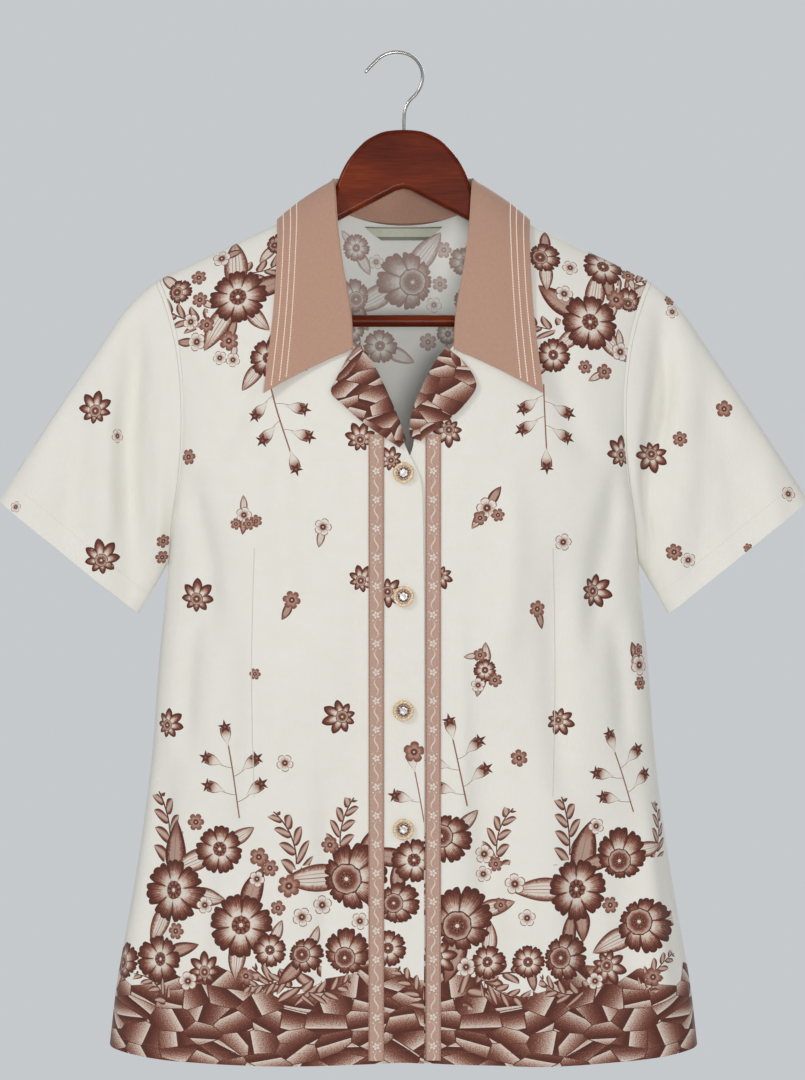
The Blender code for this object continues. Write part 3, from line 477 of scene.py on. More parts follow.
def depth_on(grid, x, z):
    """The Y of a grid at points given by x and z, read from its triangles as seen along Y."""
    a, b, c, d = np.moveaxis(cells(grid), 2, 0).reshape(4, -1, 3)
    faces = np.concatenate([np.stack([a, b, c], axis=1), np.stack([a, c, d], axis=1)])
    p, q, r = faces[:, 0], faces[:, 1] - faces[:, 0], faces[:, 2] - faces[:, 0]
    area = q[:, 0] * r[:, 2] - q[:, 2] * r[:, 0]
    area = np.where(np.abs(area) < 1e-9, 1e-9, area)
    dx, dz = x.reshape(-1, 1) - p[:, 0], z.reshape(-1, 1) - p[:, 2]
    s = (dx * r[:, 2] - dz * r[:, 0]) / area
    t = (q[:, 0] * dz - q[:, 2] * dx) / area
    k = np.argmin(np.maximum(np.maximum(-s, -t), s + t - 1), axis=1)
    pick = np.arange(len(k))
    return (p[k, 1] + s[pick, k] * q[k, 1] + t[pick, k] * r[k, 1]).reshape(x.shape)


def collar_grid(fronts, back):
    """One piece round the neck: from the neck seam up to the fold, over it, and down to the outer edge. The
    leaf is laid on the fronts and the back: it is never nearer to them than LEAF_CLEAR."""
    u = np.linspace(0, 1, COLLAR_SPANS + 1)
    seam, fold, edge = (
        np.stack([smooth_through(COLLAR["u"], COLLAR[f"{k}_{a}"], u) for a in "xyz"], axis=-1)
        for k in ("seam", "fold", "edge")
    )
    away = unit((edge - fold) * (1, 1, 0))
    down = np.array([0, 0, -1.0])
    rise = np.minimum(FOLD_RISE, np.linalg.norm(seam - fold, axis=-1) / 3)[:, None]
    section = [seam, (seam + fold) / 2, fold - away * 1.1 + down * rise, fold]
    start = fold + away * 1.5 + down * FOLD_RISE
    for step in LEAF_STEPS:
        point = start + (edge - start) * step
        section.append(point + away * (3.0 * math.sin(math.pi * step)))
    half = np.stack(section, axis=1)
    leaf = half[:, 5:]
    y_front = depth_on(fronts[1], leaf[..., 0], leaf[..., 2]) - LEAF_CLEAR
    y_back = depth_on(back, leaf[..., 0], leaf[..., 2]) + LEAF_CLEAR
    forward, backward = (u > 0.56)[:, None], (u < 0.44)[:, None]
    leaf[..., 1] = np.where(forward, np.minimum(leaf[..., 1], y_front), leaf[..., 1])
    leaf[..., 1] = np.where(backward, np.maximum(leaf[..., 1], y_back), leaf[..., 1])
    return np.concatenate([half[::-1][:-1] * (-1, 1, 1), half])


def crease(grid, creases, normals, room):
    """Pushes a grid along its normals by soft troughs and ridges. Each runs from (x0, z0) to (x1, z1), is
    deepest at its middle, and fades to nothing at its ends and to both sides."""
    push = np.zeros(grid.shape[:2])
    for x0, z0, x1, z1, bend, width, depth in zip(*creases.values()):
        run = np.array([x1 - x0, z1 - z0])
        length = np.linalg.norm(run)
        run = run / length
        rel = grid[..., [0, 2]] - (x0, z0)
        along = rel @ run / length
        across = rel @ np.array([-run[1], run[0]]) - bend * np.sin(np.pi * np.clip(along, 0, 1))
        taper = ease(-0.12, 0.3, along) * (1 - ease(0.7, 1.12, along))
        push += depth * np.exp(-((across / width) ** 2)) * taper
    return grid - normals * (push * room)[..., None]


def cells(grid, ring=False):
    """The values at the four corners of each cell of a grid, and of those between its two ends if a ring."""
    if ring:
        grid = np.concatenate([grid, grid[:, :1]], axis=1)
    return np.stack([grid[:-1, :-1], grid[:-1, 1:], grid[1:, 1:], grid[1:, :-1]], axis=2)


def arc_uv(grid, ring=False):
    """For each point of a grid the mean length along its row and its column up to it, in millimetres. The
    first column of a ring comes again at its end, at the ring's whole length."""
    wide = np.concatenate([grid, grid[:, :1]], axis=1) if ring else grid
    return np.stack(np.meshgrid(knots_along(wide, 1), knots_along(grid, 0)), axis=-1)


def new_mesh(name, points, quads, materials, kinds=None, uv=None, smooth_angle=45):
    """One mesh object from points in millimetres and four corners a face. kinds gives each face's material
    and uv one pair for each corner of each face, in millimetres."""
    mesh = bpy.data.meshes.new(name)
    quads = np.asarray(quads, np.int32)
    mesh.vertices.add(len(points))
    mesh.vertices.foreach_set("co", (np.asarray(points, np.float32) * MM).ravel())
    mesh.loops.add(quads.size)
    mesh.loops.foreach_set("vertex_index", quads.ravel())
    mesh.polygons.add(len(quads))
    mesh.polygons.foreach_set("loop_start", np.arange(0, quads.size, 4, dtype=np.int32))
    if kinds is not None:
        mesh.polygons.foreach_set("material_index", np.asarray(kinds, np.int32))
    if uv is not None:
        mesh.uv_layers.new(name="cut").data.foreach_set("uv", (np.asarray(uv, np.float32) * MM).ravel())
    mesh.update(calc_edges=True)
    mesh.validate()
    return placed(mesh, materials, smooth_angle)


def placed(mesh, materials, smooth_angle):
    """The object of a mesh, smooth but for edges sharper than the angle."""
    for material in materials:
        mesh.materials.append(material)
    mesh.shade_smooth()
    mesh.set_sharp_from_angle(angle=math.radians(smooth_angle))
    piece = bpy.data.objects.new(mesh.name, mesh)
    bpy.context.scene.collection.objects.link(piece)
    return piece


def shell(name, grid, thickness, materials, normals, ring=False):
    """A closed thin wall whose middle is the grid, open at its ends, and round if ring. Material 0 is on the
    side that the normals point to and on the rims, and material 1 on the other side."""
    rows, columns = grid.shape[:2]
    count = rows * columns
    offset = normals * thickness / 2
    points = np.concatenate([(grid + offset).reshape(-1, 3), (grid - offset).reshape(-1, 3)])
    index = np.arange(count).reshape(rows, columns)
    place = arc_uv(grid, ring)
    near, near_uv = cells(index, ring).reshape(-1, 4), cells(place).reshape(-1, 4, 2)
    if ring:
        edges = [index[0], index[-1, ::-1]]
    else:
        edges = [np.concatenate([index[0, :-1], index[:-1, -1], index[-1, :0:-1], index[:0:-1, 0]])]
    rims = np.concatenate([
        np.stack([edge, edge + count, np.roll(edge, -1) + count, np.roll(edge, -1)], -1) for edge in edges
    ])
    quads = np.concatenate([near, near[:, OTHER_WAY] + count, rims])
    uv = np.concatenate([near_uv, near_uv[:, OTHER_WAY], place[:, :columns].reshape(-1, 2)[rims % count]])
    kinds = np.repeat([0, 1, 0], [len(near), len(near), len(rims)])
    if np.cross(grid[1, 1] - grid[0, 0], grid[1, 0] - grid[0, 1]) @ normals[0, 0] < 0:
        quads, uv = quads[:, ::-1], uv[:, ::-1]
    return new_mesh(name, points, quads, materials, kinds, uv)


def turned(profile, sides):
    """The points and faces of a turned body about +Y from rows of radius and height, whose first and last are
    on the axis. Its height runs towards -Y."""
    angles = np.linspace(0, 2 * np.pi, sides, endpoint=False)
    radius, height = np.array(profile).T[..., None]
    rings = xyz(np.cos(angles) * radius, -height, np.sin(angles) * radius)
    index = np.arange(len(profile) * sides).reshape(-1, sides)
    return rings.reshape(-1, 3), cells(index, ring=True).reshape(-1, 4)[:, OTHER_WAY]


def rod(points, radius, sides=12):
    """The points and faces of a round rod along a line, its radius one number or one for each point. Both of
    its ends close on the line's own end points."""
    radius = np.broadcast_to(np.asarray(radius, float), (len(points),))
    run = unit(np.gradient(points, axis=0))
    guide = np.where(np.abs(run[:, 1:2]) > 0.9, (1.0, 0, 0), (0, 1.0, 0))
    side = unit(np.cross(run, guide))
    angles = np.linspace(0, 2 * np.pi, sides, endpoint=False)[:, None]
    spread = np.cos(angles) * side[:, None] + np.sin(angles) * np.cross(run, side)[:, None]
    rings = points[:, None] + radius[:, None, None] * spread
    ends = [np.broadcast_to(end, (1, sides, 3)) for end in (points[0], points[-1])]
    rings = np.concatenate([ends[0], rings, ends[1]])
    index = np.arange(len(rings) * sides).reshape(-1, sides)
    return rings.reshape(-1, 3), cells(index, ring=True).reshape(-1, 4)[:, OTHER_WAY]


def merged(piece):
    """Joins a piece's points that lie on each other, which closes the ends of its rods and discs."""
    work = bmesh.new()
    work.from_mesh(piece.data)
    bmesh.ops.remove_doubles(work, verts=work.verts, dist=2e-6)
    bmesh.ops.dissolve_degenerate(work, edges=work.edges, dist=1e-7)
    work.to_mesh(piece.data)
    work.free()
    return piece


def joined(name, parts, materials, smooth_angle=45):
    """One piece from several (points, faces, material number) parts."""
    starts = running([len(points) for points, _, _ in parts])
    piece = new_mesh(
        name,
        np.concatenate([points for points, _, _ in parts]),
        np.concatenate([faces + int(start) for (_, faces, _), start in zip(parts, starts)]),
        materials,
        np.concatenate([np.full(len(faces), kind) for _, faces, kind in parts]),
        smooth_angle=smooth_angle,
    )
    return merged(piece)


def read_along(at, length, values):
    """The values of a line's points, which lie at these lengths along it, at other lengths."""
    return np.stack([np.interp(at, length, values[:, axis]) for axis in range(3)], -1)


def stitches(line, normals, pitch, length, radius, lift):
    """Sewing thread along a line on cloth: one short round-ended stitch after another, each a six-sided rod
    whose ends dip into the cloth. normals gives the cloth's outward direction at each point of the line."""
    so_far = running(np.maximum(gaps(line), 1e-9))
    at = np.arange(pitch / 2, so_far[-1], pitch)
    spots, out = read_along(at, so_far, line), unit(read_along(at, so_far, normals))
    run = unit(read_along(at + 0.2, so_far, line) - read_along(at - 0.2, so_far, line))
    side = unit(np.cross(run, out))
    along, rise, girth = STITCH_SHAPE[:, :, None]
    middles = (
        spots[:, None]
        + run[:, None] * along * length
        + out[:, None] * (lift + (rise - 1.0) * radius * 1.2)
    )
    angles = np.linspace(0, 2 * np.pi, 6, endpoint=False)[:, None]
    spread = np.cos(angles) * side[:, None] + np.sin(angles) * out[:, None]
    rings = middles[:, :, None] + (girth * radius)[None, :, :, None] * spread[:, None]
    index = np.arange(rings.size // 3).reshape(rings.shape[:3])
    after = np.roll(index, -1, axis=2)
    faces = np.stack([index[:, :-1], index[:, 1:], after[:, 1:], after[:, :-1]], -1).reshape(-1, 4)
    first, last = index[:, 0], index[:, -1]
    heads = [first[:, [0, 1, 2, 3]], first[:, [0, 3, 4, 5]], last[:, [3, 2, 1, 0]], last[:, [5, 4, 3, 0]]]
    return rings.reshape(-1, 3), np.concatenate([faces, *heads])


def finish_piece(piece, slot_name, *nodes):
    """Rides on the one body and stands for these nodes if any. slot_name is not used."""
    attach(piece, "root")
    if nodes:
        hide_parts(*nodes)


def step(operation, turned_round=False):
    """A method of Sum that adds one math node, with its own number last if turned round."""

    def method(self, *others):
        return Sum.math(operation, *others, self) if turned_round else Sum.math(operation, self, *others)

    return method


class Sum:
    """A number socket of the node tree in hand, so that shader arithmetic reads as plain Python."""

    tree = None
    __add__ = __radd__ = step("ADD")
    __sub__, __rsub__ = step("SUBTRACT"), step("SUBTRACT", turned_round=True)
    __mul__ = __rmul__ = step("MULTIPLY")
    __truediv__, __rtruediv__ = step("DIVIDE"), step("DIVIDE", turned_round=True)
    __pow__ = step("POWER")
    __lt__, __gt__ = step("LESS_THAN"), step("GREATER_THAN")
    fract, floor, abs, sin = step("FRACT"), step("FLOOR"), step("ABSOLUTE"), step("SINE")
    most, least, turn_to = step("MAXIMUM"), step("MINIMUM"), step("ARCTAN2")

    def __init__(self, source):
        self.source = source

    @staticmethod
    def math(operation, *values, clamp=False):
        """The result of one math node."""
        made = node("Math", operation=operation, use_clamp=clamp)
        for socket, value in zip(made.inputs, values):
            fill(socket, value)
        return Sum(made.outputs[0])

    def clamp(self):
        """This held between 0 and 1."""
        return Sum.math("ADD", self, 0.0, clamp=True)

    def smooth(self, low, high, start=0.0, end=1.0):
        """start where this is low or less, end where it is high or more, with a smooth change between."""
        settings = {"Value": self, "From_Min": low, "From_Max": high, "To_Min": start, "To_Max": end}
        return Sum(node("MapRange", interpolation_type="SMOOTHSTEP", **settings).outputs[0])

    def over(self, below, mask):
        """This where mask is 1, and below where it is 0."""
        return below + (self - below) * mask


def fill(socket, value):
    """Links a Sum or a socket to an input, or sets the input's own value."""
    value = value.source if isinstance(value, Sum) else value
    if isinstance(value, bpy.types.NodeSocket):
        Sum.tree.links.new(value, socket)
    else:
        socket.default_value = value


def read(collection, field, width, kind=np.float32):
    """One property of every item of a mesh's collection, as rows of this many values."""
    values = np.empty(len(collection) * width, kind)
    collection.foreach_get(field, values)
    return values.reshape(-1, width)


def node(kind, **values):
    """A new shader node with these settings. A name with a capital sets an input and any other a property."""
    made = Sum.tree.nodes.new("ShaderNode" + kind)
    for name, value in values.items():
        if name[0].isupper():
            fill(made.inputs[name.replace("_", " ")], value)
        else:
            setattr(made, name, value)
    return made


def mixed_shader(share, low, high):
    """One shader where the share is 0 and another where it is 1."""
    made = node("MixShader", Fac=share)
    fill(made.inputs[1], low)
    fill(made.inputs[2], high)
    return made.outputs[0]


def mixed_colour(share, low, high):
    """One colour where the share is 0 and another where it is 1."""
    made = node("Mix", data_type="RGBA")
    for place, value in ((0, share), (6, low), (7, high)):
        fill(made.inputs[place], value)
    return made.outputs[2]


def split(socket):
    """The three numbers of a vector."""
    return [Sum(out) for out in node("SeparateXYZ", Vector=socket).outputs]


def noise(place, scale, detail=2.0, **more):
    """Soft noise at a place, about 0 to 1."""
    return Sum(node("TexNoise", Vector=place, Scale=scale, Detail=detail, **more).outputs["Fac"])


def stretched(place, *scale):
    """A place with its three directions scaled."""
    return node("Mapping", Vector=place, Scale=scale).outputs[0]


def zigzag(value):
    """A wave that falls from 1 to 0 and rises again as the value grows by 1."""
    return (value.fract() - 0.5).abs() * 2.0


FLOWER, FLORET, LEAF, BELL, STEM, SPRIG, STAR = range(1, 8)


def motif_group():
    """The print's motifs in one node group. Its input is (x, y, code): a place in the motif, whose reach is
    1, and the motif's kind with a share of 0.9 of its seed. Its outputs are the ink's strength and the mask.

    A flower, star or floret is drawn from the radius r and the turn round its heart, cut into equal petals.
    Its share is r over the way from the heart to the unit circle, t + sqrt(1 - s^2 + t^2), t = s sin(turn),
    where s is how low the heart is set, and over the petal's own edge: three scallops, or a point in a star.
    The ink grows with the share, with fine radial lines. The heart is small dark marks, in a cup where it is
    set low. A leaf is the band |x| < w(y), with veins along it. A bell is a pale body that widens downward to
    a dark star. A sprig is a stem with leaflets."""
    group = bpy.data.node_groups.new("print motif", "ShaderNodeTree")
    for name, way, kind in (
        ("Place", "INPUT", "Vector"), ("Ink", "OUTPUT", "Float"), ("Mask", "OUTPUT", "Float"),
    ):
        group.interface.new_socket(name, in_out=way, socket_type="NodeSocket" + kind)
    Sum.tree = group
    place = group.nodes.new("NodeGroupInput").outputs["Place"]
    x, y, code = split(place)
    kind = (code + 0.001).floor()
    seed = (code - kind) / 0.9
    is_flower, is_floret, is_leaf, is_bell, is_stem, is_sprig, is_star = (
        (kind - float(number)).abs() < 0.5 for number in (FLOWER, FLORET, LEAF, BELL, STEM, SPRIG, STAR)
    )

    ruffled = is_flower * (seed > 0.62)
    shift = ruffled * 0.3 + is_star * 0.24
    low_y = y + shift
    r = (x * x + low_y * low_y) ** 0.5
    tilt = shift * low_y / r.most(0.01)
    limit = tilt + (1.0 - shift * shift + tilt * tilt) ** 0.5
    turn = x.turn_to(low_y) / (2 * math.pi) + 0.5
    petals = 5.0 + is_flower * 2.0 + is_star * 3.0 + (seed > 0.5) * (1.0 - is_star)
    round_place = turn * petals + seed * 3.0
    petal = round_place.fract()
    own = ((round_place.floor() / petals).fract() * 41.0 + seed * 9.0).sin()
    off = (petal - 0.5).abs() * 2.0
    scallop = (petal * (3 * math.pi)).sin().abs() ** 0.6
    rough = noise(place, 11.0) - 0.5
    edge_1 = 0.96 + own * 0.04 - off**4.0 * 0.05 - off.smooth(0.74, 1.0) * 0.09 - 0.075 * (1.0 - scallop)
    edge_7 = 1.0 - off * 0.1 - off**1.6 * 0.26
    share = r / limit / edge_7.over(edge_1, is_star)
    line = zigzag(petal * 8.0)
    grow = (share + rough * 0.26 + off**3.0 * 0.14).smooth(0.36, 0.98)
    ink_1 = 0.1 + grow * 0.78 + (line < grow * 1.0) * 0.13 + (share > 0.93) * 0.12
    between = (off > 1.0 - 0.045 / r.most(0.2)) * r.smooth(0.34, 0.42) * 0.9
    ink_1 = ink_1.most(between)
    cup = ruffled * 0.43 + is_star * 0.34
    mark = zigzag(turn * 9.0 + seed)
    lump = r - 0.02 * mark + rough * 0.08
    wall = 0.3 + (cup - lump).smooth(0.04, 0.22) * 0.5 + (line < 0.3) * 0.2
    ink_1 = wall.over(ink_1, lump < cup)
    ink_1 = ink_1.most(((lump - cup).abs() < 0.022) * 0.95)
    heart = 0.62 + (mark < 0.5) * 0.3 - (r < 0.06) * 0.7 + ((r - 0.15).abs() < 0.02) * 0.3 + rough * 0.5
    ink_1 = heart.over(ink_1, lump < 0.28 - (ruffled + is_star) * 0.1)

    edge_2 = 0.97 - off**3.0 * 0.34 - (1.0 - scallop) * 0.04
    share_2 = r / edge_2
    outline = (share_2 > 0.9) * 0.58
    rays = (line < 0.42) * (1.0 - share_2.smooth(0.25, 0.85)) * 0.8
    parting = (off > 1.0 - 0.06 / r.most(0.2)) * 0.5
    full_2 = (seed > 0.45) * (0.3 + share_2.smooth(0.3, 1.0) * 0.4)
    ink_2 = (full_2 + 0.05).most(rays).most(outline).most(parting)
    ink_2 = (r.smooth(0.46, 0.2) * 0.95).most(ink_2) - (r < 0.1) * 0.7

    width = 0.47 * (1.0 - y).most(0.0) ** 0.85 * (1.0 + y).most(0.0) ** 0.42 + 0.003
    bend = x - 0.16 * (1.0 - y * y) * (seed - 0.5)
    side = bend.abs() / width
    veins = ((side * 3.2 + 0.15).fract() < 0.2) * 0.42
    rib = (bend.abs() < 0.02) * 0.5
    ink_3 = 0.1 + (seed < 0.36) * 0.3 + (side + rough * 0.5).smooth(0.4, 0.95) * 0.7
    ink_3 = ink_3 + y.smooth(0.15, 1.0) * 0.35
    ink_3 = ink_3.most(veins).most(rib).most((side > 0.87) * 0.85)

    mouth_y = y + 0.55
    mouth = (x * x + mouth_y * mouth_y) ** 0.5
    star = 1.0 - (mouth_y.turn_to(x) * 2.5 + 0.785).sin().abs() ** 0.7
    in_star = mouth < 0.24 + 0.38 * star
    body = 0.05 + y.smooth(1.0, -0.1) * 0.4
    in_body = (x.abs() < body) * ((y - 0.24).abs() < 0.76)
    ink_4 = 0.08 + (x.abs() / body > 0.86) * 0.55 + y.smooth(0.35, -0.5) * 0.6
    ink_4 = (0.95 - (mouth < 0.08) * 0.3).over(ink_4, in_star)
    mask_4 = in_star.most(in_body)

    arc = x - (1.0 - y * y) * (seed - 0.5) * 0.7
    stem_1 = (arc.abs() < 0.027 - ((seed - 0.5).abs() < 0.03) * is_stem * 0.006) * (y.abs() < 1.0)
    cell = (y * 1.6 - arc.abs() * 1.5 + (arc < 0.0) * 0.45).fract()
    reach = 0.5 * (1.0 - y * 0.62) ** 0.5
    out = (arc.abs() / reach).least(1.0)
    lens = 1.02 * out**0.6 * (1.0 - out) ** 0.95
    leaflet = ((cell - 0.5).abs() < lens) * (y < 0.93)
    mask_6 = leaflet.most(stem_1)
    ink_6 = (0.34 + ((cell - 0.5).abs() / (lens + 0.01)).smooth(0.2, 0.85) * 0.6).most(stem_1 * 0.9)

    mask = (
        is_flower * (share < 1.0)
        + is_floret * (share_2 < 1.0)
        + is_leaf * (side < 1.0) * (y.abs() < 1.0)
        + is_bell * mask_4
        + is_stem * stem_1
        + is_star * (share < 1.0)
        + is_sprig * mask_6
    )
    ink = (is_flower + is_star) * ink_1 + is_floret * ink_2 + is_leaf * ink_3 + is_bell * ink_4
    ink = ink + is_stem * 0.62 + is_sprig * ink_6
    leave = group.nodes.new("NodeGroupOutput")
    fill(leave.inputs["Ink"], ink.clamp())
    fill(leave.inputs["Mask"], mask.clamp())
    return group


def colour_of(red, green, blue):
    """A colour given as the numbers of a screen, 0 to 255, as linear values."""
    share = np.array([red, green, blue]) / 255.0
    return (*np.where(share <= 0.04045, share / 12.92, ((share + 0.055) / 1.055) ** 2.4), 1.0)


def ramp(value, *stops):
    """The colour at a value on a ramp of (place, colour) stops, its colours as a screen's 0 to 255."""
    made = node("ValToRGB", Fac=value)
    elements = made.color_ramp.elements
    while len(elements) < len(stops):
        elements.new(0.5)
    for element, (place, colour) in zip(elements, stops):
        element.position, element.color = place, colour_of(*colour)
    return made.outputs[0]


def painted(material, **looks):
    """A material with these inputs of its shader linked or set."""
    for name, value in looks.items():
        fill(material.node_tree.nodes["Principled BSDF"].inputs[name.replace("_", " ")], value)
    return material


def new_material(name, **looks):
    """A material whose node tree is then the one in hand."""
    material = bpy.data.materials.new(name)
    material.use_nodes = True
    Sum.tree = material.node_tree
    return painted(material, **looks)


def cut_place():
    """The piece's own cut as a place, in metres."""
    return node("UVMap", uv_map="cut").outputs[0]


def object_place():
    """A place on the piece in the frame, in metres."""
    return node("TexCoord").outputs["Object"]


def bump(height, strength, deep=0.0003):
    """The surface's direction with a relief on it, its depth in metres."""
    return node("Bump", Strength=strength, Distance=deep, Height=height).outputs[0]


def cloth_bump(place, strength=0.25, pitch=0.9):
    """A fine uneven cloth grain: two crossed waves of a pitch in millimetres, with soft noise."""
    wave = {"Vector": place, "Scale": 1000 / pitch / 6.3, "Distortion": 1.2}
    across, along = (Sum(node("TexWave", bands_direction=way, **wave).outputs["Fac"]) for way in "XY")
    return bump(across * 0.5 + along * 0.5 + noise(place, 260.0, 3.0) * 1.2, strength)


INK_STOPS = (
    (0.0, (230, 227, 219)), (0.25, (203, 182, 168)), (0.55, (152, 108, 92)), (0.8, (116, 68, 56)),
    (1.0, (88, 48, 40)),
)
# The reverse side's ramp is painted lighter than the front's: painted light on the blouse's inside, which the
# lamps reach little. Its print is also paler, as on the back of printed cloth.
REVERSE_STOPS_PAINTED_LIGHTER = ((0.0, (240, 240, 235)), (0.5, (198, 181, 174)), (1.0, (162, 133, 125)))
# In metres, as the cloth's cut is: a facet's size, and the height of the band with its wave.
FACET_WIDE, FACET_TALL = 0.022, 0.0145
BAND_TOP, BAND_WAVE = 0.066, 0.007


def facet_ink(u, v, wide, tall):
    """The facet print: cells about wide by tall, each with its own straight gradient from dark to pale in a
    fine stipple, thin dark lines between them and a second thin line across some. It also gives each cell's
    own height in the print, so that the band can end at the edges of whole cells."""
    where = node("CombineXYZ", X=u / wide, Y=v / tall).outputs[0]
    facets = {"voronoi_dimensions": "2D", "Vector": where, "Scale": 1.0, "Randomness": 0.95}
    cell = node("TexVoronoi", **facets)
    edge = Sum(node("TexVoronoi", feature="DISTANCE_TO_EDGE", **facets).outputs["Distance"])
    here_x, here_y, _ = split(where)
    cell_x, cell_y, _ = split(cell.outputs["Position"])
    turn, start, lined = map(Sum, node("SeparateColor", Color=cell.outputs["Color"]).outputs)
    angle = turn * 6.283
    across = (here_x - cell_x) * angle.sin() + (here_y - cell_y) * (angle + 1.571).sin()
    saw = (across * 1.05 + start).fract()
    shade = 0.12 + (saw**0.8) * 0.92
    ink = shade * 0.78 + (noise(where, 26.0, 1.0) < shade * 0.42 + 0.29) * 0.26
    second = ((saw - 0.5).abs() > 0.488) * (lined > 0.4)
    return ink.most((edge < 0.02) * 0.92).most(second * 0.85).clamp(), cell_y * tall


def cloth_material(name, group, stops, band=True, depth=1.0):
    """Printed cloth. The motifs lie in four layers of face-corner values, p0 lowest, over the facet band and
    the cream ground. A shader for many layers is only used where a face has more than one."""
    woven = {"Roughness": 0.82, "Sheen_Weight": 0.2, "Specular_IOR_Level": 0.15}
    material = new_material(name, **woven)
    place = cut_place()
    u, v, _ = split(place)
    ground = (noise(place, 55.0, 4.0) - 0.45).most(0.0) * 0.05
    if band:
        facet, cell_v = facet_ink(u, v, FACET_WIDE, FACET_TALL)
        ground = facet.over(ground, cell_v - (u * 58.0).sin() * BAND_WAVE < BAND_TOP)
    grain = cloth_bump(place)
    inks, has = [ground], []
    for layer in range(Print.LAYERS):
        spot = node("Attribute", attribute_name=f"p{layer}").outputs["Vector"]
        drawn = node("Group", node_tree=group, Place=spot)
        has.append(split(spot)[2] > 0.5)
        inks.append(Sum(drawn.outputs["Ink"]).over(inks[-1], Sum(drawn.outputs["Mask"])))
    painted(material, Base_Color=ramp(inks[0] * depth, *stops), Normal=grain)
    plain = material.node_tree.nodes["Principled BSDF"].outputs[0]
    one, many = (
        node("BsdfPrincipled", Base_Color=ramp(ink * depth, *stops), Normal=grain, **woven).outputs[0]
        for ink in (inks[1], inks[-1])
    )
    top = mixed_shader(has[0], plain, mixed_shader(has[1], one, many))
    fill(material.node_tree.nodes["Material Output"].inputs["Surface"], top)
    return material


def collar_material():
    """One-colour woven rose cloth, its threads and slubs a little darker."""
    material = new_material("rose collar", Roughness=0.8, Sheen_Weight=0.25, Specular_IOR_Level=0.2)
    place = cut_place()
    along, across = (noise(stretched(place, *scale), 1.0) for scale in ((300, 1800, 1), (1800, 300, 1)))
    tone = (along * 0.5 + across * 0.5).smooth(0.36, 0.64)
    colour = ramp(tone, (0.0, (180, 141, 122)), (1.0, (187, 149, 130)))
    return painted(material, Base_Color=colour, Normal=cloth_bump(place, 0.3, 0.8))


def lapel_material():
    """The facet print with smaller cells, each lapel with its own part of it."""
    material = new_material("lapel facets", Roughness=0.8, Sheen_Weight=0.2, Specular_IOR_Level=0.15)
    place = cut_place()
    u, v, _ = split(place)
    shift = 0.3 + (split(object_place())[0] > 0.0) * 0.117
    ink, _ = facet_ink(u + shift, v + 0.1, 0.019, 0.013)
    return painted(material, Base_Color=ramp(ink, *INK_STOPS), Normal=cloth_bump(place))


def ribbon_material():
    """Woven ribbon: a dusty rose ground with darker edges and, at each repeat along it, a small white flower
    of five petals among four dots, with a waved stroke between the flowers. u runs across from 0."""
    material = new_material("woven ribbon", Roughness=0.72, Sheen_Weight=0.3, Specular_IOR_Level=0.25)
    place = cut_place()
    u, v, _ = split(place)
    along = ((v * 1000.0 / RIBBON_REPEAT).fract() - 0.5) * RIBBON_REPEAT
    across = u * 1000.0 - RIBBON_WIDTH / 2
    r = (along * along + across * across) ** 0.5
    off = zigzag(along.turn_to(across) / (2 * math.pi) * 5.0 + 0.5)
    white = (r < 3.0 * (1.0 - off * off * 0.7)) * (1.0 - (off > 0.8) * (r > 0.9) * 0.7)
    between = ((v * 1000.0 / RIBBON_REPEAT + 0.5).fract() - 0.5) * RIBBON_REPEAT
    stroke = (across - (between * 0.46).sin() * 1.5).abs() < 0.75 - between.abs() * 0.09
    white = white.most(stroke * 0.8)
    for x, y in RIBBON_DOTS:
        dot = (across - x) * (across - x) + (along - y) * (along - y) < 0.42
        white = white.most(dot * 0.8)
    edge = across.abs() > RIBBON_WIDTH / 2 - 1.0
    rib = zigzag(v * 1000.0 / 0.7)
    shade = noise(place, 900.0) * 0.6 + rib * 0.25
    ground = ramp(shade - edge * 0.25, (0.1, (166, 128, 112)), (0.75, (204, 172, 156)))
    bright = ramp(shade, (0.1, (200, 190, 178)), (0.7, (236, 230, 222)))
    colour = mixed_colour((white * (1.0 - (r < 0.8) * 0.8)).clamp(), ground, bright)
    return painted(material, Base_Color=colour, Normal=bump(rib * 0.5 + white, 0.4, 0.0004))


def thread_material(name, *colour):
    """Sewing thread of one colour."""
    return new_material(name, Roughness=0.6, Sheen_Weight=0.3, Base_Color=colour_of(*colour))


def wood_material():
    """Lacquered red-brown wood: grain as long noise along X with darker streaks, under a clear coat."""
    material = new_material(
        "lacquered wood", Roughness=0.36, Coat_Weight=0.06, Coat_Roughness=0.12, Specular_IOR_Level=0.12
    )
    place = object_place()
    bend = noise(stretched(place, 7, 40, 34), 1.0, 6.0, Roughness=0.6, Distortion=0.6)
    pores = noise(stretched(place, 40, 500, 900), 1.0)
    tone = bend.smooth(0.3, 0.7) * 0.75 + pores.smooth(0.42, 0.62) * 0.25
    colour = ramp(tone, (0.0, (78, 20, 3)), (0.5, (104, 33, 6)), (1.0, (128, 50, 13)))
    return painted(material, Base_Color=colour, Normal=bump(pores, 0.06))


def steel_material():
    """Bright drawn wire with fine scratches."""
    material = new_material("hook steel", Metallic=1.0)
    scratch = noise(object_place(), 900.0, 3.0)
    colour = ramp(scratch, (0.3, (166, 163, 158)), (0.7, (190, 187, 182)))
    return painted(material, Base_Color=colour, Roughness=scratch * 0.05 + 0.2)


